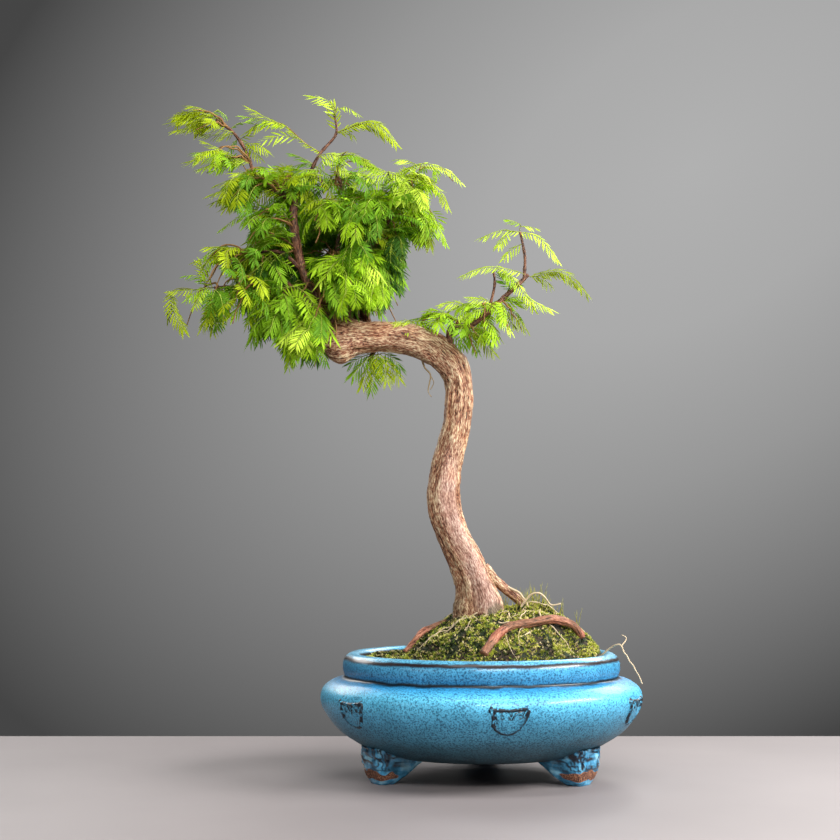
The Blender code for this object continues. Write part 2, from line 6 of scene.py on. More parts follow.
import bpy
import numpy as np
from bpy.props import FloatProperty, FloatVectorProperty, IntProperty, PointerProperty
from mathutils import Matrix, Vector

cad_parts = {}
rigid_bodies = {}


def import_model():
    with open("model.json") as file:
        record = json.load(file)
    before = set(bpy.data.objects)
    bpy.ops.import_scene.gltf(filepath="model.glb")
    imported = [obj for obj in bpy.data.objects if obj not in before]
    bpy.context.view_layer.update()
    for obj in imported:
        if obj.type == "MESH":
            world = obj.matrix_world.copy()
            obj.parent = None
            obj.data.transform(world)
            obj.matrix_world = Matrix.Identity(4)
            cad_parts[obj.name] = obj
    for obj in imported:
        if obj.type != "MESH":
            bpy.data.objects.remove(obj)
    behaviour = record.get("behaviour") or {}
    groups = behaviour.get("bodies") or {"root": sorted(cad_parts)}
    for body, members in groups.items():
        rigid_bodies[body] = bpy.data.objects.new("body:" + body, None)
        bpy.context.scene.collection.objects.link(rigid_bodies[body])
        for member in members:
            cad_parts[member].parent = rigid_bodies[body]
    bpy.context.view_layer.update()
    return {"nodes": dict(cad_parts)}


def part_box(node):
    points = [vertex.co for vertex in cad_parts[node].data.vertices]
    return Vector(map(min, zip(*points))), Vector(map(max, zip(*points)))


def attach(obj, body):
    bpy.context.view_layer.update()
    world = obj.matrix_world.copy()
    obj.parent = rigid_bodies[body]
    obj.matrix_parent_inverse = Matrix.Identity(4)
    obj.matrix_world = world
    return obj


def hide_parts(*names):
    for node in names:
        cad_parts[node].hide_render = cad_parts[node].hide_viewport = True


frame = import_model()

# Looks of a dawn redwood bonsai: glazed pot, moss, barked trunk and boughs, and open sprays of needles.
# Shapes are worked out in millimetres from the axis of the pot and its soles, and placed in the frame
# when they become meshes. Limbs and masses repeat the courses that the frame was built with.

bl_info = {
    "name": "Dawn Redwood Bonsai",
    "version": (1, 0, 0),
    "blender": (4, 5, 0),
    "location": "View3D > Sidebar > Bonsai",
    "description": "Builds the finish of a potted dawn redwood bonsai round its frame",
    "category": "Add Mesh",
}

MM = 0.001
POT_LOW, POT_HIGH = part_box("pot")
AXIS_X = (POT_LOW.x + POT_HIGH.x) / 2
MASS_NODES = sorted(name for name in frame["nodes"] if name.startswith("foliage_"))

# Camera, measured from the axis of the pot in millimetres
CAMERA_PLACE = (-53.2, -1600.0, 214.0)
CAMERA_AIM = (-53.2, 0.0, 310.6)
CAMERA_LENS = 78.06
CAMERA_SENSOR = 36.0

# Stage
FLOOR_HALF_WIDTH = 3000.0
FLOOR_FRONT = -3000.0
FLOOR_BACK = 310.0
LIGHTS_AIM = (-20.0, 0.0, 250.0)
LIGHTS = (  # name, place, width and height, share of the key light's power
    ("key_light", (1300, -420, 1000), 1100, 300, 1.0),
    ("front_light", (350, -1500, 950), 900, 260, 0.50),
    ("fill_light", (-1300, -1100, 650), 1200, 300, 0.07),
    ("top_light", (100, -450, 1800), 1500, 400, 0.36),
    ("back_light", (700, 1200, 1000), 1000, 500, 0.30),
    ("side_light", (-900, 1100, 900), 1000, 500, 0.25),
)
LIGHT_COLOUR = (1.0, 0.985, 0.96)
WASH_CENTRE = (0.148, 0.97, 0.195)  # direction of the brightest part of the backdrop
WASH_TURN = (0, math.radians(-32), 0)
WASH_SIZE = (0.47, 3.0, 0.30)
WASH_TONES = ((0.0, 0.060), (0.25, 0.185), (0.50, 0.310), (0.75, 0.405), (1.0, 0.440))

# Pot: radius and height from the foot ring over the lip to the inner floor
POT_OUTSIDE = (
    (0.0, 20.0), (60.0, 20.0), (80.0, 20.5), (98.0, 26.0), (111.8, 33.4), (123.3, 41.3), (131.9, 51.2),
    (138.2, 61.7), (140.0, 70.5), (137.6, 78.0), (130.0, 83.6), (121.6, 86.0), (119.3, 88.2),
    (120.6, 92.6), (120.8, 98.0), (119.6, 102.6), (116.6, 106.0), (112.5, 107.5), (108.3, 106.8),
    (105.4, 103.4), (105.0, 97.0), (105.0, 88.0), (128.0, 79.0),
)
POT_SEGMENTS = 224
POT_PROFILE_STEP = 1.6
CREST_COUNT = 6
CREST_FIRST_ANGLE = 7.5
CREST_HEIGHT = 62.0
CREST_WIDTH = 35.0
CREST_DEPTH = 27.0
CREST_GRID = 84
CREST_OUTLINE = (  # across and up, as shares of the width and depth
    (-0.50, 0.32), (-0.43, 0.17), (-0.41, 0.01), (-0.42, -0.16), (-0.33, -0.30), (-0.20, -0.42),
    (-0.02, -0.48), (0.15, -0.42), (0.28, -0.28), (0.38, -0.10), (0.46, 0.12), (0.50, 0.30), (0.42, 0.47),
    (0.32, 0.40), (0.05, 0.36), (-0.34, 0.38), (-0.43, 0.46),
)
CREST_STROKES = (
    ((-0.30, 0.30), (-0.15, 0.31), (-0.06, 0.26), (0.01, 0.12), (0.04, 0.05), (0.10, 0.24), (0.28, 0.33)),
    ((-0.18, 0.13), (-0.17, 0.09)), ((0.24, 0.14), (0.25, 0.10)),
    ((-0.36, 0.22), (-0.32, 0.02), (-0.31, -0.12)), ((0.40, 0.32), (0.33, 0.14)),
)

# Feet: distance from the axis of the pot and height, and half widths at the top and at the sole
FOOT_ANGLES = {"foot_front_left": -63.0, "foot_front_right": 57.0, "foot_back": 177.0}
FOOT_OUTER = ((103.0, 0.0), (106.5, 9.0), (108.0, 20.0), (109.5, 30.0))
FOOT_INNER = ((88.0, 0.0), (79.0, 7.0), (68.0, 16.0), (58.0, 22.0))
FOOT_HALF_WIDTH_TOP = 21.0
FOOT_HALF_WIDTH_SOLE = 10.0
FOOT_TOP = 31.0

# Soil
RIM_RADIUS = 104.4
SOIL_FLOOR_HEIGHT = 88.0
SOIL_FLOOR_SHARE = 0.93
SOIL_RINGS = 92
SOIL_SIDES = 220
ROSETTE_LEAVES = 6
SPIKE_COUNT = 90
MOSS_SEED = 41
FINE_ROOT_COUNT = 34
FINE_ROOT_REACH = 98.0
FINE_ROOT_STEP = 3.6
SOIL_RIM_HEIGHT = 102.5
MOUND_CENTRE = (20.0, 8.0)
MOUND_RADII = (92.0, 95.0)
MOUND_RISE = 40.0
MOUND_POWER = 2.6
KNOLL = (50.0, 0.0, 40.0, 8.0)
HOLLOWS = (  # x, y, radius and depth of the dips beside the roots
    (78.0, -44.0, 15.0, 9.0), (52.0, -56.0, 12.0, 4.0), (30.0, -8.0, 8.0, 6.0), (-30.0, -30.0, 16.0, 3.0),
)

LOOSE_ROOTS = (  # course and radius of the loops, and of the dead end that hangs over the rim
    (((34, -6, 146), (43, -8, 157), (51, -9, 159), (60, -8, 150), (70, -8, 151)), 1.1),
    (((24, 2, 164), (34, -2, 158), (40, -6, 150), (48, -14, 143)), 1.2),
    (((98, -34, 104), (107, -42, 112), (116, -48, 118), (121, -50, 110), (127, -52, 98),
      (134, -54, 84)), 0.9),
    (((118, -49, 117), (122, -46, 122), (118, -44, 125)), 0.6),
    (((40, -52, 128), (30, -60, 124), (22, -66, 118), (10, -74, 112)), 0.8),
)

# Trunk: x, y, z and radius at each station from the moss to the end of the burl
TRUNK_STATIONS = (
    (0.0, 0.0, 132.0, 23.5), (0.0, 0.0, 142.0, 20.6), (-3.0, 0.0, 161.0, 17.0), (-11.0, 2.0, 183.0, 15.4),
    (-24.5, 5.0, 211.5, 14.2), (-32.0, 7.0, 240.0, 14.0), (-28.8, 7.0, 275.0, 12.5),
    (-20.7, 5.0, 310.0, 12.1), (-20.0, 2.0, 345.0, 12.1), (-31.5, 0.0, 365.5, 13.8),
    (-52.0, -2.0, 378.4, 14.2), (-80.0, -4.0, 383.2, 12.8), (-104.0, -5.0, 382.8, 13.2),
    (-123.0, -5.0, 381.0, 16.6), (-134.0, -4.0, 380.0, 14.0), (-141.0, -3.0, 379.0, 8.5),
    (-143.5, -3.0, 378.6, 2.5),
)
TRUNK_SIDES = 168
TRUNK_STEP = 1.2
BURIED_FOOT = 10.3  # length of trunk that this file adds below the frame's flat cut
BURL_CAP = 2.6  # and beyond the end of its burl
BARK_MIDDLE = 0.62  # share of the relief that lies inside the measured radius
CALM_SHARE = 0.7  # how much relief is missing where the outer bark is gone
ALGAE_TOP = 0.172  # heights in metres at which the algae on the bark ends and is full
ALGAE_FULL = 0.138
LIMB_STEP = 1.6
ROOT_SIDES = 48
BOUGH_SIDES = 30
TWIG_SIDES = 16
KNOT_DISTANCE = 17.0
TRUNK_SWELLINGS = (  # x, y, z, radius and height of each lump on the trunk
    (-45.0, -3.0, 272.0, 13.0, 2.2), (-48.0, -3.0, 248.0, 14.0, 2.4), (-42.0, -3.0, 226.0, 12.0, 2.0),
    (-122.0, -10.0, 364.0, 9.0, 4.2), (-131.0, -14.0, 374.0, 8.0, 2.6), (-118.0, -9.0, 398.0, 9.0, 3.4),
    (-108.0, 6.0, 396.0, 9.0, 3.0), (-141.0, -8.0, 388.0, 7.0, 2.4), (14.0, -4.0, 150.0, 11.0, 3.6),
    (-17.0, -4.0, 148.0, 10.0, 3.0), (-14.0, -2.0, 366.0, 9.0, 1.8), (-24.0, -9.0, 338.0, 7.0, -1.6),
)

STUBS = (  # name, course, and radius at the foot and at the end
    ("stub_left", ((-164, -26, 424), (-171, -30, 431), (-177, -34, 438)), 1.7, 1.5),
    ("stub_burl", ((-117, -4, 392), (-116, -7, 402), (-115, -8, 408)), 5.0, 3.2),
    ("stub_burl_left", ((-131, -8, 390), (-129, -14, 400), (-124, -18, 405)), 4.2, 2.6),
    ("dead_rootlet", ((-52, 1, 366), (-49, 2, 357), (-44, 3, 351), (-45, 2, 343), (-46, 1, 336),
                      (-43, 2, 331)), 0.9, 0.4),
    ("dead_rootlet_side", ((-44, 3, 350), (-41, 5, 344), (-44, 6, 338)), 0.5, 0.3),
)

Root = namedtuple("Root", "name course thick thin")
ROOTS = (
    Root("root_buttress", ((3, 2, 182), (13, 3, 170), (26, 4, 158), (38, 4, 149), (47, 4, 141)), 4.2, 4.0),
    Root("root_front", ((0, -77, 111), (17, -56, 130), (37, -46, 134), (59, -35, 138), (76, -27, 132),
                        (86, -21, 121)), 4.4, 3.4),
    Root("root_left", ((-65, -6, 107), (-57, -4, 118), (-49, -2, 126), (-37, 0, 132), (-27, 2, 135)),
         3.5, 3.0),
)

# Limbs: the limb each one leaves, how far along it, then the course and the radius at each end
Limb = namedtuple("Limb", "name parent along course thick thin")
LIMBS = (
    Limb("leader", "trunk", 0.93, ((-139, -10, 412), (-154, -14, 436), (-161, -15, 462), (-164, -14, 486),
                                   (-164, -12, 508)), 5.2, 3.0),
    Limb("bough_centre", "trunk", 0.90, ((-126, 8, 426), (-127, 8, 457), (-121, 4, 486), (-119, 2, 505),
                                         (-127, 4, 530)), 4.4, 1.5),
    Limb("bough_right", "trunk", 0.865, ((-108, 18, 427), (-100, 22, 464), (-84, 18, 487), (-74, 12, 502),
                                         (-68, 8, 515)), 4.2, 1.5),
    Limb("bough_back_left", "trunk", 0.915, ((-148, 40, 421), (-168, 66, 452), (-178, 80, 484)), 4.0, 1.6),
    Limb("bough_back_right", "trunk", 0.885, ((-115, 45, 426), (-107, 72, 467), (-101, 84, 498)), 4.0, 1.6),
    Limb("bough_left_reach", "leader", 0.22, ((-161, -20, 416), (-183, -28, 421), (-208, -34, 424),
                                              (-231, -36, 423)), 2.9, 1.1),
    Limb("bough_left_low", "leader", 0.50, ((-171, -20, 454), (-186, -24, 457), (-200, -26, 453),
                                            (-212, -26, 445)), 2.1, 1.1),
    Limb("twig_left", "leader", 0.97, ((-180, -8, 512), (-199, -3, 528), (-206, -1, 546), (-218, -2, 565),
                                       (-234, -6, 577)), 2.1, 1.1),
    Limb("twig_top", "leader", 0.95, ((-153, -4, 525), (-142, 2, 548), (-128, 4, 566), (-130, 4, 585)),
         2.0, 0.9),
    Limb("branch_right", "trunk", 0.635, ((-27, -8, 389), (-10, -12, 393), (6, -14, 404), (21, -12, 418),
                                          (42, -8, 438)), 3.3, 1.6),
    Limb("branch_upper", "branch_right", 0.96, ((39, -8, 455), (35, -8, 476)), 1.5, 1.0),
    Limb("branch_middle", "branch_right", 0.60, ((12, -16, 427), (11, -18, 440)), 1.3, 1.0),
    Limb("spur_under", "trunk", 0.835, ((-97, 4, 366), (-93, 2, 357)), 2.4, 1.5),
)

# Sighting grid of the camera: squares of 0.88 mm at the axis of the pot, in columns and rows from the
# upper left. The outline of the crown, its gaps and the fronds that stand out were measured on it.
SIGHT_SQUARE = 0.88
SIGHT_AXIS = 480.5
SIGHT_SOLES = 773.0
OUTLINES = (
    ((226, 181), (238, 168), (262, 165), (284, 162), (300, 162), (318, 153), (340, 150), (366, 154),
     (380, 166), (400, 165), (418, 163), (436, 168), (434, 178), (432, 190), (426, 200), (434, 208),
     (440, 226), (442, 240), (430, 242), (418, 240), (408, 236), (403, 246), (403, 262), (401, 288),
     (388, 291), (383, 310), (370, 306), (360, 302), (352, 316), (336, 316), (328, 322), (326, 336),
     (318, 342), (324, 358), (300, 358), (288, 362), (283, 345), (270, 332), (257, 340), (250, 338),
     (253, 325), (246, 320), (242, 304), (232, 310), (216, 328), (204, 324), (210, 302), (198, 300),
     (190, 296), (192, 286), (204, 284), (212, 284), (232, 284), (236, 278), (228, 272), (214, 258),
     (200, 258), (208, 246), (222, 243), (244, 248), (256, 244), (250, 236), (252, 226), (240, 220),
     (232, 221), (238, 214), (244, 208), (226, 204), (214, 196), (216, 186)),
    ((414, 318), (430, 311), (445, 303), (470, 299), (497, 297), (508, 298), (522, 297), (534, 302),
     (522, 308), (524, 322), (512, 326), (502, 332), (492, 346), (470, 342), (452, 336), (446, 330),
     (424, 324)),
    ((172, 115), (188, 105), (206, 108), (230, 128), (226, 134), (196, 128), (174, 124)),
    ((190, 157), (206, 144), (226, 150), (242, 158), (226, 164), (204, 163)),
)
WINDOWS = (  # nothing grows in front of this depth inside these bounds
    (-14, ((287, 197), (299, 195), (301, 236), (306, 260), (323, 290), (334, 312), (319, 312), (300, 282),
           (290, 250))),
    (2, ((336, 222), (346, 222), (342, 256), (333, 256))),
    (16, ((366, 246), (386, 222), (398, 202), (404, 204), (390, 228), (372, 248))),
    (200, ((318, 244), (329, 243), (328, 256), (317, 257))),
    (200, ((293, 241), (302, 238), (302, 248), (295, 250))),
    (200, ((344, 160), (355, 160), (354, 170), (345, 170))),
    (20, ((303, 226), (332, 226), (332, 256), (306, 256))),
    (200, ((328, 316), (336, 312), (356, 318), (440, 326), (470, 360), (470, 420), (330, 420))),
)

# Fronds that stand out: tint, lean of the frond's face to the camera in degrees, needle and distance
# between pairs in millimetres, depth at foot and tip, then its course on the sighting grid
FRONDS = (
    ("spring", 30, 8, 2.8, 4, 10, (208, 111), (216, 106), (224, 112)),
    ("spring", 25, 9, 3.6, 6, 12, (228, 126), (238, 119), (247, 119)),
    ("leaf", 40, 9, 2.6, 2, 6, (236, 136), (230, 142), (226, 151)),
    ("olive", 40, 10, 2.4, -2, -4, (232, 131), (216, 132), (200, 131)),
    ("yellow", 40, 10, 2.3, -2, -8, (216, 115), (200, 105), (186, 102)),
    ("yellow", 45, 11, 2.3, -3, -12, (221, 119), (196, 109), (171, 113)),
    ("yellow", 40, 11, 2.3, -3, -14, (225, 123), (198, 116), (170, 119)),
    ("yellow", 45, 11, 2.3, -4, -14, (231, 129), (202, 123), (173, 127)),
    ("olive", 40, 9, 2.6, 0, -6, (238, 137), (246, 131), (251, 125)),
    ("yellow", 45, 10, 2.6, 0, -8, (243, 141), (254, 141), (266, 149)),
    ("olive", 45, 10, 2.6, 2, -4, (241, 139), (250, 146), (258, 155)),
    ("yellow", 40, 10, 2.3, -6, -12, (243, 158), (224, 149), (204, 140)),
    ("lime", 40, 11, 2.3, -6, -14, (242, 158), (218, 150), (193, 150)),
    ("yellow", 45, 11, 2.3, -7, -16, (242, 159), (214, 154), (186, 159)),
    ("pale", 45, 10, 2.3, -8, -16, (241, 159), (220, 159), (199, 166)),
    ("lime", 50, 10, 2.3, -8, -14, (240, 160), (228, 162), (212, 168)),
    ("pale", 50, 9, 2.4, -8, -12, (247, 161), (238, 156), (229, 158)),
    ("yellow", 45, 11, 2.4, -8, -14, (262, 183), (248, 172), (234, 171)),
    ("yellow", 45, 11, 2.4, -8, -16, (262, 184), (238, 176), (217, 182)),
    ("yellow", 40, 12, 2.4, -8, -18, (262, 186), (236, 183), (211, 192)),
    ("olive", 45, 11, 2.4, -8, -16, (262, 188), (238, 190), (213, 200)),
    ("yellow", 50, 11, 2.4, -8, -14, (262, 189), (244, 195), (223, 207)),
    ("olive", 50, 11, 2.4, -10, -14, (267, 191), (254, 199), (241, 206)),
    ("yellow", 45, 11, 2.4, -8, -14, (285, 189), (274, 174), (260, 168)),
    ("lime", 50, 10, 2.4, -8, -14, (289, 191), (281, 176), (272, 167)),
    ("yellow", 45, 10, 2.4, -8, -12, (285, 193), (270, 186), (256, 179)),
    ("spring", 35, 10, 2.6, 8, 12, (292, 186), (277, 169), (263, 165)),
    ("spring", 35, 10, 2.6, 8, 14, (302, 182), (290, 170), (278, 164)),
    ("yellow", 25, 6, 2.4, 2, -2, (320, 150), (302, 139), (284, 122)),
    ("yellow", 45, 10, 2.2, -2, -8, (285, 123), (266, 115), (249, 106)),
    ("lime", 40, 10, 2.2, -2, -8, (283, 122), (264, 117), (243, 113)),
    ("yellow", 50, 11, 2.5, -2, -8, (280, 121), (260, 120), (246, 128)),
    ("pale", 60, 12, 5.0, 0, -6, (297, 135), (281, 132), (264, 137)),
    ("pale", 50, 12, 3.4, 2, -6, (335, 112), (329, 98), (314, 93)),
    ("pale", 40, 7, 3.0, 2, -4, (335, 106), (344, 103), (358, 111)),
    ("yellow", 60, 11, 4.4, 4, 2, (336, 128), (335, 115), (333, 102)),
    ("yellow", 50, 10, 2.3, 0, -8, (337, 129), (358, 120), (378, 121), (396, 141)),
    ("olive", 55, 10, 2.6, 0, -4, (346, 126), (368, 122), (388, 136)),
    ("olive", 50, 8, 2.4, 2, 4, (339, 130), (349, 128), (353, 134)),
    ("yellow", 40, 9, 2.4, 2, 0, (352, 123), (368, 117), (381, 120)),
    ("pale", 45, 9, 2.8, -6, -14, (318, 153), (332, 151), (344, 160)),
    ("pale", 55, 9, 2.8, -8, -16, (320, 155), (336, 160), (347, 171)),
    ("lime", 50, 9, 2.6, -4, -10, (323, 157), (318, 164), (309, 170)),
    ("olive", 50, 10, 2.6, 0, -4, (331, 152), (353, 151), (379, 168)),
    ("spring", 50, 10, 2.6, 4, 0, (336, 153), (356, 154), (372, 164)),
    ("spring", 30, 9, 2.8, 8, 12, (314, 163), (303, 156), (291, 151)),
    ("spring", 40, 8, 2.8, 8, 12, (316, 165), (304, 161), (292, 164)),
    ("lime", 45, 10, 2.4, -10, -18, (318, 168), (302, 168), (287, 179)),
    ("pale", 45, 9, 2.4, -12, -18, (317, 170), (306, 172), (298, 181)),
    ("spring", 50, 9, 2.4, 2, -2, (320, 167), (328, 175), (334, 187)),
    ("yellow", 50, 10, 2.6, -8, -16, (320, 172), (308, 179), (297, 190)),
    ("yellow", 50, 10, 2.6, -4, -10, (322, 178), (328, 186), (331, 196)),
    ("pale", 50, 10, 2.4, -12, -20, (389, 170), (370, 168), (351, 172)),
    ("pale", 60, 11, 2.4, -12, -18, (387, 172), (370, 174), (355, 183)),
    ("lime", 60, 11, 2.4, -10, -16, (388, 173), (376, 180), (368, 190)),
    ("lime", 40, 9, 2.4, -6, -10, (385, 169), (372, 164), (358, 166)),
    ("pale", 50, 10, 2.4, -14, -24, (388, 169), (403, 177), (418, 205)),
    ("pale", 50, 10, 2.4, -14, -22, (390, 172), (398, 184), (404, 198)),
    ("lime", 50, 9, 2.4, -10, -18, (389, 172), (392, 182), (394, 193)),
    ("pale", 45, 9, 2.5, 4, -4, (404, 167), (424, 161), (446, 167), (461, 180)),
    ("pale", 55, 8, 2.6, 4, 0, (420, 162), (412, 166), (409, 173)),
    ("pale", 40, 10, 4.5, 8, 6, (416, 162), (405, 157), (397, 157)),
    ("lime", 50, 7, 2.6, 0, -4, (434, 166), (438, 170), (436, 176)),
    ("olive", 40, 9, 2.6, 0, -4, (398, 174), (416, 172), (433, 178)),
    ("yellow", 50, 9, 2.6, -4, -12, (419, 177), (438, 186), (448, 205)),
    ("spring", 45, 10, 2.6, 6, 10, (400, 184), (418, 181), (437, 190)),
    ("spring", 45, 10, 2.6, 6, 8, (400, 187), (414, 188), (426, 196)),
    ("lime", 45, 9, 2.6, -6, -16, (402, 203), (424, 206), (438, 226), (446, 242)),
    ("spring", 50, 9, 2.6, 8, 10, (402, 208), (416, 208), (427, 215)),
    ("leaf", 50, 10, 2.6, 10, 12, (402, 215), (414, 221), (418, 236)),
    ("yellow", 50, 10, 2.6, 2, -4, (400, 207), (416, 211), (428, 226)),
    ("olive", 55, 10, 2.4, -2, -8, (414, 227), (428, 227), (430, 245)),
    ("olive", 55, 9, 2.4, -2, -10, (412, 226), (424, 231), (420, 243)),
    ("olive", 50, 11, 2.4, -10, -20, (373, 231), (390, 229), (405, 246)),
    ("yellow", 55, 10, 2.4, -10, -18, (371, 233), (382, 236), (392, 250)),
    ("leaf", 50, 11, 2.8, 0, -8, (372, 248), (390, 249), (405, 264)),
    ("spring", 50, 12, 2.8, 0, -10, (370, 256), (390, 259), (404, 282)),
    ("leaf", 50, 12, 2.8, 4, -4, (368, 264), (386, 272), (400, 291)),
    ("leaf", 50, 12, 2.8, 0, -8, (362, 270), (376, 284), (387, 300)),
    ("lime", 50, 10, 2.4, -20, -34, (338, 199), (326, 200), (314, 209)),
    ("pale", 60, 10, 2.4, -20, -36, (336, 200), (326, 208), (320, 223)),
    ("lime", 60, 10, 2.4, -20, -36, (337, 200), (332, 210), (332, 224)),
    ("lime", 60, 10, 2.4, -20, -36, (339, 200), (344, 208), (348, 220)),
    ("yellow", 50, 10, 2.4, -18, -34, (336, 198), (352, 206), (361, 231)),
    ("yellow", 50, 9, 2.4, -16, -24, (322, 197), (311, 200), (303, 208)),
    ("lime", 50, 12, 2.8, -34, -50, (348, 257), (330, 257), (313, 270)),
    ("pale", 60, 12, 2.8, -36, -52, (346, 258), (332, 264), (319, 283)),
    ("lime", 60, 12, 2.8, -36, -52, (347, 259), (339, 270), (334, 286)),
    ("spring", 60, 11, 2.8, -36, -50, (348, 259), (350, 272), (352, 288)),
    ("pale", 50, 12, 2.8, -36, -54, (346, 256), (364, 265), (379, 294)),
    ("pale", 45, 12, 3.2, -34, -48, (348, 255), (368, 262), (384, 281)),
    ("lime", 50, 10, 3.0, -16, -28, (319, 306), (332, 305), (345, 316)),
    ("pale", 50, 8, 4.4, -14, -22, (345, 297), (332, 293), (320, 297)),
    ("spring", 50, 12, 2.8, -20, -34, (350, 288), (366, 293), (382, 313)),
    ("leaf", 50, 12, 2.8, -16, -26, (346, 290), (358, 300), (371, 308)),
    ("leaf", 50, 12, 2.8, -16, -22, (340, 286), (349, 297), (354, 311)),
    ("spring", 50, 12, 2.8, -14, -26, (366, 268), (380, 276), (390, 292)),
    ("lime", 60, 15, 3.8, -34, -62, (276, 289), (297, 286), (316, 307), (332, 336)),
    ("spring", 60, 13, 3.2, -40, -58, (302, 311), (288, 321), (279, 336)),
    ("pale", 60, 12, 3.0, -56, -70, (314, 318), (298, 326), (282, 341)),
    ("pale", 60, 12, 3.0, -58, -74, (315, 319), (304, 330), (296, 343)),
    ("pale", 65, 12, 3.0, -58, -76, (315, 320), (309, 332), (306, 347)),
    ("lime", 60, 12, 3.0, -58, -74, (316, 320), (320, 330), (321, 341)),
    ("lime", 50, 12, 3.4, -36, -52, (295, 302), (276, 302), (258, 312)),
    ("spring", 55, 12, 3.4, -34, -48, (288, 304), (273, 308), (263, 320)),
    ("spring", 55, 12, 3.0, -34, -50, (302, 300), (291, 306), (284, 319)),
    ("lime", 50, 12, 2.8, -30, -46, (286, 296), (260, 290), (234, 291), (212, 304)),
    ("lime", 55, 13, 3.2, -30, -46, (271, 292), (250, 297), (231, 315)),
    ("yellow", 55, 12, 2.6, -34, -44, (240, 288), (216, 299), (202, 326)),
    ("yellow", 55, 12, 2.6, -34, -44, (233, 290), (217, 307), (212, 330)),
    ("olive", 55, 11, 2.6, -34, -42, (237, 289), (225, 302), (222, 316)),
    ("lime", 55, 9, 2.6, -38, -46, (206, 287), (197, 290), (186, 299)),
    ("pale", 60, 9, 2.6, -38, -48, (205, 288), (198, 295), (194, 306)),
    ("lime", 50, 9, 2.6, -38, -44, (204, 287), (214, 290), (223, 302)),
    ("yellow", 50, 8, 2.6, -38, -42, (193, 289), (181, 290), (170, 291)),
    ("yellow", 60, 10, 3.0, -38, -46, (171, 291), (172, 308), (183, 330)),
    ("olive", 40, 8, 3.2, -36, -40, (170, 294), (168, 306), (167, 319)),
    ("spring", 40, 9, 3.0, -34, -38, (206, 284), (198, 275), (186, 275)),
    ("yellow", 50, 10, 2.6, -32, -36, (211, 286), (205, 273), (199, 263)),
    ("olive", 50, 12, 2.6, -26, -34, (262, 253), (243, 259), (231, 275)),
    ("yellow", 45, 12, 2.6, -24, -34, (262, 253), (232, 247), (206, 246)),
    ("yellow", 50, 12, 2.6, -24, -36, (250, 256), (222, 253), (197, 260)),
    ("lime", 50, 10, 2.8, -28, -38, (222, 256), (207, 260), (199, 277)),
    ("olive", 55, 13, 2.6, -28, -38, (270, 254), (258, 266), (240, 281)),
    ("leaf", 55, 13, 2.6, -28, -36, (277, 256), (268, 272), (253, 285)),
    ("yellow", 50, 12, 2.6, -28, -38, (268, 263), (253, 273), (237, 286)),
    ("lime", 45, 10, 3.8, -16, -26, (299, 264), (283, 253), (264, 252)),
    ("lime", 35, 8, 2.5, -14, -22, (287, 222), (262, 221), (240, 215), (220, 228)),
    ("yellow", 40, 10, 2.6, -12, -18, (283, 219), (265, 213), (251, 215)),
    ("olive", 50, 11, 2.6, -14, -22, (277, 226), (262, 229), (248, 240)),
    ("yellow", 50, 11, 2.6, -14, -22, (281, 230), (269, 238), (260, 249)),
    ("spring", 50, 11, 2.8, -14, -20, (287, 234), (282, 243), (280, 256)),
    ("spring", 55, 12, 2.8, -30, -38, (273, 308), (259, 324), (250, 342)),
    ("leaf", 55, 12, 2.8, -28, -36, (277, 310), (266, 326), (259, 341)),
    ("yellow", 50, 11, 2.8, -34, -42, (263, 294), (253, 308), (247, 324)),
    ("leaf", 55, 12, 2.8, -26, -30, (289, 310), (279, 322), (271, 333)),
    ("lime", 55, 11, 2.6, -24, -28, (295, 338), (291, 352), (288, 366)),
    ("leaf", 55, 11, 2.6, -20, -22, (306, 342), (305, 352), (304, 361)),
    ("deep", 55, 11, 2.6, -18, -18, (313, 343), (315, 352), (316, 361)),
    ("leaf", 55, 11, 2.6, -16, -16, (320, 344), (323, 353), (326, 362)),
    ("spring", 60, 12, 2.4, 0, -8, (374, 354), (364, 362), (352, 376)),
    ("yellow", 60, 12, 2.4, -2, -10, (376, 355), (368, 368), (362, 385)),
    ("spring", 65, 12, 2.4, -2, -12, (377, 355), (374, 372), (371, 391)),
    ("yellow", 60, 12, 2.4, -2, -12, (378, 355), (384, 368), (387, 381)),
    ("yellow", 60, 12, 2.4, 0, -8, (380, 354), (390, 364), (399, 379)),
    ("leaf", 60, 12, 2.6, 2, 2, (372, 353), (361, 357), (350, 364)),
    ("leaf", 60, 12, 2.6, 2, 2, (384, 353), (393, 358), (400, 368)),
    ("leaf", 60, 12, 2.6, 4, 4, (378, 353), (378, 362), (380, 374)),
    ("pale", 50, 8, 2.6, -8, -12, (415, 323), (405, 320), (395, 322)),
    ("pale", 55, 8, 2.6, -8, -14, (407, 321), (407, 327), (409, 332)),
    ("lime", 50, 8, 2.6, -8, -12, (412, 321), (424, 322), (435, 328)),
    ("spring", 40, 9, 2.6, 0, 2, (446, 320), (430, 316), (412, 319)),
    ("lime", 45, 10, 2.6, -6, -12, (456, 319), (440, 311), (425, 311)),
    ("spring", 50, 9, 2.6, -4, -8, (448, 322), (436, 319), (424, 324)),
    ("pale", 45, 10, 2.6, -12, -20, (472, 308), (458, 302), (442, 304)),
    ("pale", 55, 10, 2.6, -12, -20, (471, 308), (463, 310), (456, 318)),
    ("lime", 50, 9, 2.6, -12, -18, (474, 306), (470, 311), (469, 318)),
    ("pale", 45, 10, 2.5, -14, -22, (496, 303), (484, 299), (470, 298)),
    ("pale", 50, 9, 2.5, -14, -22, (495, 304), (500, 314), (511, 331)),
    ("olive", 50, 11, 2.5, -12, -20, (499, 308), (513, 311), (526, 329)),
    ("olive", 50, 10, 2.5, -10, -18, (500, 309), (508, 317), (514, 326)),
    ("olive", 50, 10, 2.6, -12, -18, (479, 316), (490, 322), (500, 337)),
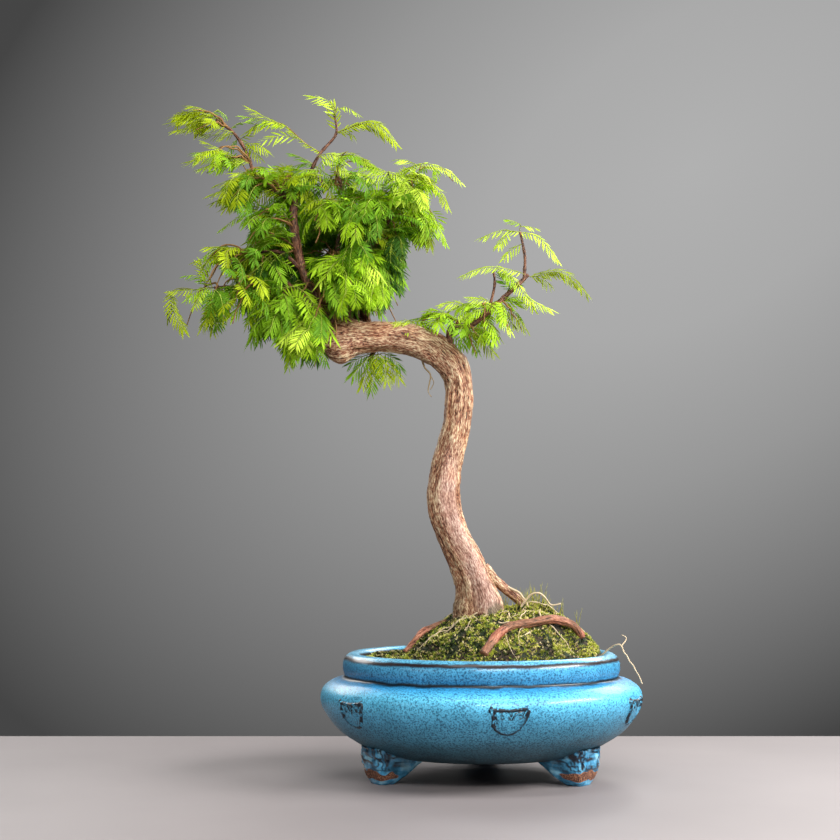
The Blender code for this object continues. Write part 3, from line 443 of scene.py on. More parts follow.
    ("olive", 55, 11, 2.5, -8, -16, (463, 329), (477, 332), (493, 352)),
    ("spring", 55, 11, 2.5, -8, -14, (463, 330), (471, 338), (478, 351)),
    ("spring", 55, 10, 2.6, -8, -10, (462, 330), (463, 338), (465, 346)),
    ("spring", 50, 10, 2.6, -4, -6, (449, 331), (456, 337), (463, 346)),
    ("pale", 45, 9, 2.4, -16, -22, (522, 272), (498, 266), (480, 268), (463, 275)),
    ("pale", 50, 10, 2.4, -14, -24, (498, 267), (514, 278), (530, 298), (551, 309)),
    ("lime", 50, 9, 2.6, -14, -20, (500, 268), (508, 274), (512, 282)),
    ("yellow", 50, 9, 2.6, -14, -20, (527, 293), (530, 301), (534, 308)),
    ("lime", 40, 9, 2.6, -10, -14, (502, 302), (512, 297), (523, 297)),
    ("leaf", 40, 9, 3.0, -6, -4, (506, 294), (512, 285), (520, 282)),
    ("leaf", 45, 9, 3.0, -8, -10, (512, 289), (506, 282), (501, 276)),
    ("olive", 50, 10, 2.4, -8, -18, (531, 276), (550, 270), (568, 272), (588, 294)),
    ("yellow", 45, 10, 2.4, -8, -16, (540, 273), (560, 272), (578, 284)),
    ("olive", 55, 10, 2.5, -6, -10, (532, 276), (542, 276), (550, 284)),
    ("pale", 40, 10, 3.0, -8, -14, (521, 231), (502, 229), (483, 236)),
    ("pale", 60, 10, 3.4, -8, -14, (508, 231), (503, 238), (499, 244)),
    ("pale", 55, 10, 5.0, -6, -10, (522, 243), (512, 248), (505, 256)),
    ("lime", 40, 7, 2.6, -8, -10, (521, 223), (515, 220), (508, 218)),
    ("pale", 40, 7, 3.0, -6, -4, (521, 225), (529, 225), (537, 227)),
    ("pale", 50, 9, 2.6, -8, -16, (521, 231), (540, 236), (558, 259)),
)
MEASURED_TWIGS = (  # radius at the foot, depths and course on the sighting grid
    (0.75, -6, -6, (272, 188), (252, 176), (240, 160)),
    (0.60, 2, 2, (320, 150), (304, 140), (284, 122), (270, 118)),
    (0.55, 4, 3, (336, 129), (335, 116), (334, 103)),
    (0.70, 4, 0, (337, 129), (350, 124), (362, 120)),
    (0.60, 2, 2, (333, 160), (335, 176), (341, 196)),
    (0.90, 20, 14, (372, 212), (380, 198), (383, 183)),
    (0.75, 20, 4, (356, 236), (364, 224), (369, 212)),
    (0.90, 12, 0, (400, 198), (412, 182), (421, 164)),
    (0.70, 10, 0, (398, 204), (412, 203), (424, 207)),
    (0.60, 14, 2, (398, 214), (410, 224), (420, 228)),
    (0.70, 8, -34, (342, 262), (346, 258), (348, 257)),
    (0.70, 4, -18, (344, 214), (340, 204), (337, 199)),
    (0.80, -14, -56, (322, 304), (320, 308), (315, 318)),
    (0.60, -10, -12, (505, 298), (500, 302), (496, 304)),
)

# Foliage: each mass leaves its limb at a fraction along it and points by heading, where 0 is +X and -90
# the front. Its tints run from the sprays on top to those underneath, darker below as painted shade. spacing
# is the distance between sprays on a twig, and spray the length of the longest.
Mass = namedtuple("Mass", "name limb along heading reach rise behind width thick arch tints spacing spray")
MASSES = (
    Mass("top_left", "twig_left", 0.86, -168, 50, 8, 2, 46, 28, 6, "yellow olive", 8, 36),
    Mass("left_bright", "twig_left", 0.52, -150, 60, -3, 0, 42, 26, 9, "lime yellow spring", 8, 36),
    Mass("top_feather", "twig_top", 0.60, 176, 72, 32, 0, 30, 18, 7, "yellow olive", 9, 26),
    Mass("top_apex", "twig_top", 0.92, -95, 6, 24, 2, 48, 24, 0, "yellow pale", 11, 30),
    Mass("top_right", "twig_top", 0.76, -10, 57, -10, 0, 36, 20, 15, "yellow olive", 8, 30),
    Mass("right_crest", "bough_right", 0.97, 1, 54, 14, 4, 32, 18, 19, "lime spring", 9, 28),
    Mass("right_high", "bough_right", 0.88, -27, 52, 5, 10, 44, 32, 20, "pale lime spring", 8, 36),
    Mass("right_mid", "bough_right", 0.76, -19, 56, -22, 0, 42, 28, 22, "lime spring olive", 8, 36),
    Mass("upper_centre", "bough_centre", 0.93, -12, 34, 24, 44, 54, 34, 7, "lime spring leaf", 8, 36),
    Mass("centre_star", "bough_centre", 0.70, -95, 70, -20, 0, 60, 30, 18, "lime spring leaf", 8, 42),
    Mass("right_shoulder", "bough_right", 0.74, -98, 62, 10, 14, 62, 46, 12, "spring leaf deep", 9, 38),
    Mass("left_mid", "twig_left", 0.15, -168, 60, -8, 12, 56, 38, 14, "yellow spring leaf", 8, 38),
    Mass("left_spike", "leader", 0.78, -163, 66, -8, 4, 42, 24, 14, "spring leaf", 9, 34),
    Mass("left_inner", "leader", 0.66, 156, 52, -4, 8, 62, 50, 2, "spring leaf deep", 10, 36),
    Mass("left_shelf", "bough_left_low", 0.85, -154, 58, -32, 14, 56, 38, 15, "spring yellow leaf", 8, 40),
    Mass("left_tip", "bough_left_reach", 0.96, -174, 42, -34, 0, 42, 24, 17, "yellow spring", 9, 32),
    Mass("left_reach", "bough_left_reach", 0.68, -140, 48, -37, 6, 48, 32, 14, "yellow spring leaf", 8, 38),
    Mass("left_drop", "bough_left_reach", 0.36, -142, 36, -46, 10, 50, 38, 10, "spring leaf", 8, 38),
    Mass("front_cascade", "leader", 0.24, -98, 70, -46, 0, 66, 36, 27, "lime pale spring", 7, 46),
    Mass("hang_low", "leader", 0.17, 146, 44, -48, 0, 46, 30, 10, "spring leaf", 8, 36),
    Mass("centre_front", "bough_centre", 0.38, -75, 86, -34, 0, 76, 38, 26, "lime spring leaf", 7, 46),
    Mass("right_low", "bough_right", 0.42, -40, 46, -38, 6, 60, 50, 18, "spring leaf deep", 9, 38),
    Mass("back_top", "bough_back_left", 0.96, 6, 74, 40, 10, 78, 46, 12, "spring leaf", 9, 38),
    Mass("back_left", "bough_back_left", 0.84, 165, 52, -4, 34, 96, 70, 16, "spring leaf deep", 10, 38),
    Mass("back_right", "bough_back_right", 0.84, 18, 44, -8, 34, 96, 66, 16, "spring leaf deep", 10, 38),
    Mass("back_low", "bough_back_left", 0.40, 118, 58, -28, 10, 84, 48, 20, "spring leaf deep", 10, 38),
    Mass("core", "bough_centre", 0.50, 165, 36, 0, 46, 66, 60, 4, "leaf deep deep", 12, 34),
    Mass("core_low", "bough_back_right", 0.28, -10, 40, -2, 34, 62, 44, 10, "leaf deep", 11, 34),
    Mass("under_trunk", "spur_under", 0.72, -95, 8, -25, 4, 50, 34, 0, "spring leaf", 7, 30),
    Mass("branch_near", "branch_right", 0.26, -168, 54, 6, 0, 26, 14, 8, "pale lime", 10, 24),
    Mass("branch_low", "branch_right", 0.38, -165, 46, 8, 8, 46, 22, 8, "lime spring", 9, 32),
    Mass("branch_mid", "branch_right", 0.60, -71, 32, -26, 12, 42, 22, 16, "pale lime spring", 9, 34),
    Mass("branch_under", "branch_right", 0.42, -24, 20, -28, 0, 36, 28, 3, "spring olive", 9, 30),
    Mass("branch_outer", "branch_right", 0.72, -12, 22, -30, 0, 28, 22, 6, "olive spring", 10, 28),
    Mass("branch_crest", "branch_middle", 0.94, -9, 52, -34, 28, 28, 16, 20, "pale lime", 9, 24),
    Mass("branch_top", "branch_upper", 0.92, -14, 34, -26, 34, 32, 18, 25, "pale yellow", 10, 26),
    Mass("branch_tip", "branch_right", 0.98, -13, 55, -18, 0, 36, 18, 17, "olive yellow", 9, 28),
)
USUAL_GAP = 2.3  # between pairs of needles
# deep, the darkest green, goes to sprays under and inside the crown as painted shade.
TINTS = {
    "pale": "#BAD640", "lime": "#97BF18", "spring": "#77A312", "yellow": "#9DB20F", "olive": "#7E900E",
    "leaf": "#5A880E", "deep": "#2F560A",
}


def linear(hex_colour):
    """Linear red, green and blue of an sRGB hex colour."""
    channels = [int(hex_colour[start:start + 2], 16) / 255.0 for start in (1, 3, 5)]
    return tuple(c / 12.92 if c <= 0.04045 else ((c + 0.055) / 1.055) ** 2.4 for c in channels)


def smooth_course(stations, step):
    """Rows about one step apart on a smooth curve through the stations, every column blended alike."""
    columns = len(stations[0])
    padded = [stations[0], *stations, stations[-1]]
    course = []
    for before, start, end, after in zip(padded, padded[1:], padded[2:], padded[3:]):
        count = max(1, round(math.dist(start[:3], end[:3]) / step))
        for index in range(count):
            t = index / count
            course.append([
                0.5 * (2 * start[c] + (end[c] - before[c]) * t
                       + (2 * before[c] - 5 * start[c] + 4 * end[c] - after[c]) * t * t
                       + (3 * start[c] - before[c] - 3 * end[c] + after[c]) * t ** 3)
                for c in range(columns)])
    course.append(list(stations[-1]))
    return np.array(course, float)


def lengths_along(points):
    """Distance of each point from the first one, measured along the row."""
    steps = np.linalg.norm(np.diff(points, axis=0), axis=1)
    return np.concatenate([[0.0], np.cumsum(steps)])


def point_along(points, fraction):
    """Point at that fraction of the length of a row of points."""
    lengths = lengths_along(points)
    return np.array([np.interp(fraction * lengths[-1], lengths, points[:, axis]) for axis in range(3)])


def unit(vectors):
    """Vectors made one long."""
    return vectors / np.maximum(np.linalg.norm(vectors, axis=-1, keepdims=True), 1e-9)


def cell_value(cells, seed):
    """Random value from 0 to 1 that belongs to a whole-numbered cell."""
    mixed = cells[..., 0] * 73856093 ^ cells[..., 1] * 19349663 ^ cells[..., 2] * 83492791 ^ seed * 97531
    mixed = ((mixed ^ (mixed >> 13)) * 1274126177) & 0x7FFFFFFF
    mixed = ((mixed ^ (mixed >> 15)) * 668265263) & 0x7FFFFFFF
    return ((mixed >> 7) & 0xFFFF) / 0xFFFF


def noise(points, size, seed):
    """Smooth noise from 0 to 1 whose lumps are size across, or so wide along each axis."""
    spots = points / np.asarray(size, float)
    cells = np.floor(spots).astype(np.int64)
    blend = spots - cells
    blend = blend * blend * (3 - 2 * blend)
    total = np.zeros(points.shape[:-1])
    for corner in itertools.product((0, 1), repeat=3):
        weight = np.ones(points.shape[:-1])
        for axis, high in enumerate(corner):
            weight = weight * (blend[..., axis] if high else 1 - blend[..., axis])
        total += weight * cell_value(cells + np.array(corner), seed)
    return total


def away_from(spots, line):
    """Distance of each flat spot from a row of straight pieces."""
    nearest = np.full(spots.shape[:-1], 1e9)
    for start, end in zip(line, line[1:]):
        step = end - start
        share = np.clip(((spots - start) @ step) / step.dot(step), 0, 1)
        nearest = np.minimum(nearest, np.linalg.norm(spots - start - share[..., None] * step, axis=-1))
    return nearest


def mesh_piece(name, points, faces, materials, attributes=None, smooth=True):
    """Object with a mesh of those points, in millimetres from the axis of the pot, and those faces."""
    placed = np.asarray(points, float) * MM
    placed[:, 0] += AXIS_X
    corners = np.concatenate([block.ravel() for block in faces]).astype(np.int32)
    sizes = np.concatenate([np.full(len(block), block.shape[1]) for block in faces])
    starts = np.concatenate([[0], np.cumsum(sizes)[:-1]]).astype(np.int32)
    mesh = bpy.data.meshes.new(name)
    mesh.vertices.add(len(placed))
    mesh.vertices.foreach_set("co", placed.astype(np.float32).ravel())
    mesh.loops.add(len(corners))
    mesh.loops.foreach_set("vertex_index", corners)
    mesh.polygons.add(len(sizes))
    mesh.polygons.foreach_set("loop_start", starts)
    for material in materials:
        mesh.materials.append(material)
    mesh.update(calc_edges=True)
    for label, values in (attributes or {}).items():
        kind = "FLOAT" if values.ndim == 1 else "FLOAT_VECTOR"
        field = "value" if values.ndim == 1 else "vector"
        made = mesh.attributes.new(label, kind, "POINT")
        made.data.foreach_set(field, values.astype(np.float32).ravel())
    if smooth:
        mesh.shade_smooth()
    piece = bpy.data.objects.new(name, mesh)
    bpy.context.scene.collection.objects.link(piece)
    return piece


def hand_over(piece, slot, *nodes):
    """Fix a piece to the plant's one body and hide the nodes it stands for. The slot is not used."""
    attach(piece, "root")
    if nodes:
        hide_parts(*nodes)
    return piece


def grid_faces(rows, sides, closed=True):
    """Quads over rows of points, each row a ring if closed."""
    lower = np.arange(rows - 1)[:, None] * sides
    side = np.arange(sides if closed else sides - 1)[None, :]
    after = (side + 1) % sides
    quads = np.stack([lower + side, lower + after, lower + sides + after, lower + sides + side], -1)
    return quads.reshape(-1, 4)


def frames_along(points):
    """Direction at each point of a course and two vectors square to it that don't twist."""
    ahead = unit(np.gradient(points, axis=0))
    across = np.zeros_like(ahead)
    start = np.cross(ahead[0], (0.0, 1.0, 0.0))
    if np.linalg.norm(start) < 0.1:
        start = np.cross(ahead[0], (1.0, 0.0, 0.0))
    across[0] = unit(start)
    for index in range(1, len(points)):
        across[index] = unit(across[index - 1] - ahead[index] * across[index - 1].dot(ahead[index]))
    return ahead, across, np.cross(ahead, across)


def bark_heights(grain, strand, seed):
    """Relief of fibrous bark from 0 to 1: long strands, flakes that lift from them and fine fibres."""
    sway = (noise(grain, (6 * strand, 6 * strand, 14 * strand), seed) - 0.5)[..., None] * strand * 2.5
    bent = grain + sway * np.array([1.0, -1.0, 0.0])
    strands = 1 - np.abs(2 * noise(bent, (1.5 * strand, 1.5 * strand, 10 * strand), seed + 1) - 1)
    fibres = 1 - np.abs(2 * noise(bent, (0.9 * strand, 0.9 * strand, 4 * strand), seed + 2) - 1)
    lift = noise(bent, (1.6 * strand, 1.6 * strand, 6 * strand), seed + 3)
    flakes = np.clip((lift - 0.46) / 0.10, 0, 1)
    return np.clip(0.42 * strands ** 1.4 + 0.32 * fibres + 0.30 * flakes - 0.04, 0, 1)


def barked_tube(name, course, sides, strand, relief, material, seed, ribs=None, lumps=(), calm=None):
    """Closed tube along a course of x, y, z and radius, with bark raised on it, less where it is calm."""
    points, radii = course[:, :3], course[:, 3]
    _, across, beside = frames_along(points)
    along = lengths_along(points)
    angle = np.linspace(0, 2 * math.pi, sides, endpoint=False)
    round_x, round_y = np.cos(angle)[None, :], np.sin(angle)[None, :]
    outward = across[:, None, :] * round_x[..., None] + beside[:, None, :] * round_y[..., None]
    grain = np.stack([radii[:, None] * round_x, radii[:, None] * round_y,
                      np.repeat(along[:, None], sides, 1)], -1)
    ridge = bark_heights(grain, strand, seed)
    swell = 1.0 if ribs is None else ribs(angle[None, :], (along / along[-1])[:, None])
    quiet = calm(points[:, None, 2], outward) if calm else np.zeros_like(ridge)
    reach = radii[:, None] * swell + relief * (1 - CALM_SHARE * quiet) * (ridge - BARK_MIDDLE)
    skin = points[:, None, :] + outward * reach[..., None]
    for x, y, z, radius, height in lumps:
        near = np.exp(-(np.linalg.norm(skin - (x, y, z), axis=-1) / radius) ** 2)
        skin += outward * (near * height)[..., None]
    rows = len(points)
    verts = np.concatenate([skin.reshape(-1, 3), points[:1], points[-1:]])
    first, last = rows * sides, rows * sides + 1
    side = np.arange(sides)
    after = (side + 1) % sides
    caps = [np.stack([after, side, np.full(sides, first)], -1),
            np.stack([side + (rows - 1) * sides, after + (rows - 1) * sides, np.full(sides, last)], -1)]
    ends = np.array([[0.0, 0.0, 0.0], [0.0, 0.0, along[-1]]])
    attributes = {"ridge": np.append(ridge.ravel(), [0.3, 0.3]),
                  "calm": np.append(quiet.ravel(), [0.0, 0.0]),
                  "grain": np.concatenate([grain.reshape(-1, 3), ends])}
    return mesh_piece(name, verts, [grid_faces(rows, sides), *caps], [material], attributes)


def tapered(course, thick, thin, step):
    """Smooth course whose radius runs evenly from thick to thin."""
    plain = smooth_course([(*point, 0.0) for point in course], step)
    share = lengths_along(plain[:, :3])
    plain[:, 3] = thick + (thin - thick) * share / share[-1]
    return plain


def limb_courses():
    """Course of the trunk and of every limb, by name."""
    courses = {"trunk": smooth_course(TRUNK_STATIONS, TRUNK_STEP)}
    for limb in LIMBS:
        start = point_along(courses[limb.parent][:, :3], trunk_share(limb))
        courses[limb.name] = tapered([tuple(start), *limb.course], limb.thick, limb.thin, LIMB_STEP)
    return courses


def trunk_share(limb):
    """Fraction along the parent, allowing for the buried foot and the longer burl of the trunk here."""
    if limb.parent != "trunk":
        return limb.along
    whole = lengths_along(smooth_course(TRUNK_STATIONS, TRUNK_STEP)[:, :3])[-1]
    return (BURIED_FOOT + limb.along * (whole - BURIED_FOOT - BURL_CAP)) / whole


def tube_batch(paths, sides):
    """Points and faces of many plain tubes, each path an array of x, y, z and radius."""
    verts, faces, count = [], [], 0
    angle = np.linspace(0, 2 * math.pi, sides, endpoint=False)
    for path in paths:
        points = path[:, :3]
        _, across, beside = frames_along(points)
        ring = across[:, None] * np.cos(angle)[None, :, None] + beside[:, None] * np.sin(angle)[None, :, None]
        skin = points[:, None] + ring * path[:, 3][:, None, None]
        verts.append(skin.reshape(-1, 3))
        verts.append(points[-1:])
        faces.append(grid_faces(len(path), sides) + count)
        side = np.arange(sides) + count + (len(path) - 1) * sides
        tip = np.full(sides, count + len(path) * sides)
        after = (np.arange(sides) + 1) % sides + count + (len(path) - 1) * sides
        faces.append(np.stack([side, after, tip], -1))
        count += len(path) * sides + 1
    return np.concatenate(verts), faces


# Foliage

def sighted(column, row, depth):
    """Point that the camera sees at that column and row of its grid, so deep behind the axis of the pot."""
    grow = (depth - CAMERA_PLACE[1]) / -CAMERA_PLACE[1]
    across = (column - SIGHT_AXIS) * SIGHT_SQUARE
    up = (SIGHT_SOLES - row) * SIGHT_SQUARE
    return (CAMERA_PLACE[0] + (across - CAMERA_PLACE[0]) * grow, depth,
            CAMERA_PLACE[2] + (up - CAMERA_PLACE[2]) * grow)


def on_grid(points):
    """Columns and rows of the sighting grid at which the camera sees the points."""
    shrink = -CAMERA_PLACE[1] / (points[..., 1] - CAMERA_PLACE[1])
    across = CAMERA_PLACE[0] + (points[..., 0] - CAMERA_PLACE[0]) * shrink
    up = CAMERA_PLACE[2] + (points[..., 2] - CAMERA_PLACE[2]) * shrink
    return SIGHT_AXIS + across / SIGHT_SQUARE, SIGHT_SOLES - up / SIGHT_SQUARE


def within(bounds, columns, rows):
    """Which of the grid places lie inside the bounds."""
    inside = np.zeros(columns.shape, bool)
    for (c0, r0), (c1, r1) in zip(bounds, bounds[1:] + bounds[:1]):
        crosses = (r0 > rows) != (r1 > rows)
        inside ^= crosses & (columns < (c1 - c0) * (rows - r0) / ((r1 - r0) or 1e-9) + c0)
    return inside


def allowed(points):
    """Whether a shoot through the points stays in the crown's outline and out of its gaps."""
    columns, rows = on_grid(points)
    held = np.zeros(columns.shape, bool)
    for bounds in OUTLINES:
        held |= within(bounds, columns, rows)
    if not held.all():
        return False
    return not any((within(bounds, columns, rows) & (points[:, 1] < depth)).any()
                   for depth, bounds in WINDOWS)


Spray = namedtuple("Spray", "course reference roll sag needle gap tint")
Sizes = namedtuple("Sizes", "width stalk")


def measured_course(near, far, places, step=3.0):
    """Course through places on the sighting grid, its depth running from near to far."""
    shares = [index / (len(places) - 1) for index in range(len(places))]
    return smooth_course([sighted(*place, near + (far - near) * share ** 1.4)
                          for place, share in zip(places, shares)], step)


def measured_sprays(rng):
    """Sprays at the fronds that stand out, their lower rank of needles turned to the camera."""
    sprays = []
    for tint, lean, needle, gap, near, far, *places in FRONDS:
        course = measured_course(near, far, places)
        rightward = 1 if places[-1][0] > places[0][0] else -1
        roll = math.radians(lean + rng.uniform(-6, 6)) * rightward
        sprays.append(Spray(course, (0.0, -1.0, 0.15), roll, math.radians(rng.uniform(16, 30)),
                            needle * rng.uniform(0.95, 1.1), gap, tint))
    return sprays


def mass_twigs(rng, mass, courses):
    """Twigs of one mass: a fan of rows, stacked in layers, from its limb out to its tip."""
    base = point_along(courses[mass.limb][:, :3], mass.along)
    heading = math.radians(mass.heading)
    level = np.array([math.cos(heading), math.sin(heading), 0.0])
    beside = np.array([-math.sin(heading), math.cos(heading), 0.0])
    upward = np.array([0.0, 0.0, 1.0])
    tip = base + level * mass.reach * 0.86 + upward * mass.rise * 0.86
    back = base - level * mass.behind
    rows = max(1, round(mass.width / 24))
    layers = max(1, round(mass.thick / 15))
    twigs = []
    for layer, row in itertools.product(range(layers), range(rows)):
        depth = 0.0 if layers == 1 else 2 * layer / (layers - 1) - 1
        lean = 0.0 if rows == 1 else 2 * row / (rows - 1) - 1
        out = lean * mass.width * 0.30 + rng.uniform(-3, 3)
        up = -depth * mass.thick * 0.34 + rng.uniform(-2, 2)
        short = 1 - 0.12 * abs(lean) - 0.08 * abs(depth) - rng.uniform(0, 0.15)
        start = base + (back - base) * rng.uniform(-0.1, 0.4)
        end = back + (tip - back) * short + beside * out + upward * up
        twigs.append((bowed(rng, start, end, beside, mass.arch), depth))
        if mass.behind >= 10:
            rear = back + beside * rng.uniform(-0.3, 0.3) * mass.width + upward * up
            twigs.append((bowed(rng, start, rear, beside, mass.arch * 0.5), depth))
    return twigs


def bowed(rng, start, end, beside, arch):
    """Twig from start to end that arches and sways a little."""
    steps = np.linspace(0, 1, 9)[:, None]
    bow = 4 * steps * (1 - steps)
    line = start + (end - start) * steps
    line[:, 2] += arch * bow[:, 0]
    line += beside * bow * rng.uniform(-5, 5)
    line[1:-1] += rng.normal(0, 0.7, (7, 3))
    return smooth_course([tuple(point) for point in line], 3.0)


def twig_sprays(rng, mass, line, depth):
    """Sprays of one twig: two ranks that alternate along it and a fan at its tip, kept in the outline."""
    along = lengths_along(line)
    tints = mass.tints.split()
    sprays = []

    def add(share, turn, scale):
        base = point_along(line, share)
        ahead = point_along(line, min(1.0, share + 0.08)) - point_along(line, max(0.0, share - 0.08))
        ahead = ahead / max(np.linalg.norm(ahead), 1e-6)
        heading = math.atan2(ahead[1], ahead[0]) + math.radians(turn)
        rise = math.asin(max(-0.95, min(0.95, ahead[2]))) * 0.5 + math.radians(rng.uniform(-6, 22))
        length = mass.spray * scale * rng.uniform(0.7, 1.1)
        droop = math.radians(rng.uniform(30, 80))
        curl = math.radians(rng.uniform(-16, 16))
        roll = math.radians(rng.uniform(-38, 38))
        # Lower layers take the darker tints: painted shade inside and under the mass.
        shade = (depth + 1) / 2 * (len(tints) - 1) + rng.uniform(-0.75, 0.6)
        tint = tints[int(min(len(tints) - 1, max(0, round(shade))))]
        needle = rng.uniform(9.5, 12.5)
        for shorter in (1.0, 0.8, 0.62):
            course = arched(base, heading, rise, length * shorter, droop, curl)
            if allowed(course[2:]):
                level = (-math.sin(heading), math.cos(heading), 0.0)
                sprays.append(Spray(course, level, roll, math.radians(rng.uniform(8, 26)), needle,
                                    rng.uniform(2.4, 2.9), tint))
                return

    first = max(0.12, 8 / max(along[-1], 10))
    count = max(2, round(along[-1] * (1 - first) / mass.spacing))
    side = 1 if rng.random() < 0.5 else -1
    for index in range(count):
        share = first + (0.97 - first) * index / count
        add(share, side * rng.uniform(36, 66), 0.74 + 0.26 * math.sin(math.pi * min(1, 0.25 + share)))
        side = -side
    for turn in (rng.uniform(-8, 8), rng.uniform(24, 42), rng.uniform(-42, -24)):
        add(1.0, turn, 0.9)
    return sprays


def arched(base, heading, rise, length, droop, curl, count=9):
    """Course that leaves its base at a rise, arches over and droops."""
    share = np.linspace(0, 1, count)
    lift = rise - droop * share ** 1.35
    turn = heading + curl * share
    ahead = np.stack([np.cos(lift) * np.cos(turn), np.cos(lift) * np.sin(turn), np.sin(lift)], -1)
    steps = (ahead[1:] + ahead[:-1]) / 2 * length / (count - 1)
    return base + np.concatenate([np.zeros((1, 3)), np.cumsum(steps, 0)])


def joining_twigs(rng, sprays, wood, radius):
    """Twigs that join the foot of every spray to the nearest wood, nearest sprays first."""
    feet = np.array([spray.course[0] for spray in sprays])
    reach = np.array([np.linalg.norm(wood - foot, axis=1).min() for foot in feet])
    twigs = []
    for index in np.argsort(reach):
        foot = feet[index]
        away = np.linalg.norm(wood - foot, axis=1)
        nearest = int(away.argmin())
        if away[nearest] < 1.0:
            continue
        start = wood[nearest]
        ahead = unit(sprays[index].course[1] - foot)
        middle = (start + foot) / 2 * 0.45 + (foot - ahead * away[nearest] * 0.5) * 0.55
        middle = middle + rng.normal(0, 0.4, 3)
        steps = np.linspace(0, 1, max(4, round(away[nearest] / 3)))[:, None]
        line = start * (1 - steps) ** 2 + middle * 2 * steps * (1 - steps) + foot * steps ** 2
        wide = radius * (1.0 + 0.02 * away[nearest])
        twigs.append(np.column_stack([line, np.linspace(wide, radius * 0.8, len(line))]))
        wood = np.concatenate([wood, line[1:]])
    return twigs


def spray_shape(sprays, pairs, sizes, rng):
    """Needles and stalks of sprays that have the same number of pairs of needles."""
    number = len(sprays)
    share = np.linspace(0, 1, pairs + 1)[None, :]
    stalk = np.empty((number, pairs + 1, 3))
    for index, spray in enumerate(sprays):
        along = lengths_along(spray.course)
        for axis in range(3):
            stalk[index, :, axis] = np.interp(share[0] * along[-1], along, spray.course[:, axis])
    roll, sag, needle, gap = (np.array([getattr(spray, field) for spray in sprays])[:, None]
                              for field in ("roll", "sag", "needle", "gap"))
    wide = sizes.width * np.clip(gap / USUAL_GAP, 0.85, 1.35)
    reference = np.array([spray.reference for spray in sprays])[:, None]
    ahead = unit(np.gradient(stalk, axis=1))
    level = unit(reference - ahead * (reference * ahead).sum(-1, keepdims=True))
    over = np.cross(ahead, level)
    side = level * np.cos(roll)[..., None] + over * np.sin(roll)[..., None]
    face = np.cross(ahead, side)
    upper = np.sign(face[..., 2:] - face[..., 1:2] * 0.35 + 1e-6)
    face = face * upper

    needle_points, needle_faces, count = [], [], 0
    profile = np.sin(math.pi * (0.16 + 0.62 * share[:, 1:])) ** 0.6
    for hand in (-1, 1):
        lean = 62 - 36 * share[:, 1:] ** 1.6 + rng.uniform(-7, 7, (number, pairs))
        spread = np.radians(lean)[..., None]
        droop = (sag + rng.uniform(-0.12, 0.12, (number, pairs)))[..., None]
        out = side[:, 1:] * hand * np.cos(droop) - face[:, 1:] * np.sin(droop)
        way = unit(ahead[:, 1:] * np.cos(spread) + out * np.sin(spread))
        reach = (needle * profile * rng.uniform(0.88, 1.1, (number, pairs)))[..., None]
        twist = face[:, 1:] * rng.uniform(-0.6, 0.6, (number, pairs, 1))
        flat = unit(np.cross(face[:, 1:], way) + twist)
        root = stalk[:, 1:] + (stalk[:, :-1] - stalk[:, 1:]) * (0.5 if hand > 0 else 0.0)
        half = flat * wide[..., None] / 2 * (0.75 + 0.25 * profile[..., None])
        bend = (ahead[:, 1:] * 0.10 - face[:, 1:] * rng.uniform(0.02, 0.16, (number, pairs, 1))) * reach
        low, high = root + way * reach * 0.28, root + way * reach * 0.70 + bend * 0.45
        outline = [root, low + half * 0.95, low - half * 0.95, high + half * 0.80, high - half * 0.80,
                   root + way * reach + bend]
        needle_points.append(np.stack(outline, 2).reshape(-1, 3))
        start = np.arange(number * pairs)[:, None] * 6 + count
        needle_faces.append(start + np.array([[0, 2, 1]]))
        needle_faces.append(start + np.array([[3, 4, 5]]))
        needle_faces.append(start + np.array([[1, 2, 4, 3]]))
        count += number * pairs * 6

    picks = np.unique(np.round(np.linspace(0, pairs, max(3, pairs // 2))).astype(int))
    angle = np.array([0, 2, 4]) * math.pi / 3
    thick = (sizes.stalk * (1.0 - 0.6 * share[0, picks]))[None, :, None, None]
    ring = (side[:, picks, None] * np.cos(angle)[:, None] + face[:, picks, None] * np.sin(angle)[:, None])
    stalk_points = (stalk[:, picks, None] + ring * thick).reshape(-1, 3)
    one = grid_faces(len(picks), 3)
    stalk_faces = (one[None] + np.arange(number)[:, None, None] * len(picks) * 3).reshape(-1, 4)
    return np.concatenate(needle_points), needle_faces, stalk_points, stalk_faces


def gather(blocks):
    """Several lots of points and faces joined into one, as points and faces grouped by corners."""
    points, grouped, count = [], defaultdict(list), 0
    for verts, faces in blocks:
        points.append(verts)
        for block in faces:
            grouped[block.shape[1]].append(block + count)
        count += len(verts)
    return np.concatenate(points), [np.concatenate(blocks) for blocks in grouped.values()]


# Materials

MIX = {"data_type": "RGBA"}
MULTIPLY = {"data_type": "RGBA", "blend_type": "MULTIPLY"}
FACTOR, FIRST, SECOND, MIXED = 0, 6, 7, 2


def node(tree, kind, settings=None, values=None, links=None, stops=None):
    """Add a node with its settings, socket values, links that come in and colour stops."""
    made = tree.nodes.new(kind)
    for name, value in (settings or {}).items():
        setattr(made, name, value)
    for socket, value in (values or {}).items():
        made.inputs[socket].default_value = value
    for socket, source in (links or {}).items():
        tree.links.new(source, made.inputs[socket])
    for index, (place, colour) in enumerate(stops or ()):
        stop = made.color_ramp.elements[index] if index < 2 else made.color_ramp.elements.new(place)
        stop.position = place
        stop.color = (*colour, 1.0)
    return made


def new_tree(name):
    """Material with an empty node tree, and the place on the object in metres."""
    material = bpy.data.materials.new(name)
    material.use_nodes = True
    tree = material.node_tree
    tree.nodes.clear()
    return material, tree, node(tree, "ShaderNodeTexCoord").outputs["Object"]


def surface(tree, values, links):
    """Principled shader of a material, joined to its output."""
    shader = node(tree, "ShaderNodeBsdfPrincipled", values=values, links=links)
    node(tree, "ShaderNodeOutputMaterial", links={"Surface": shader.outputs[0]})


def grey(value):
    """Grey as red, green and blue."""
    return (value, value, value)


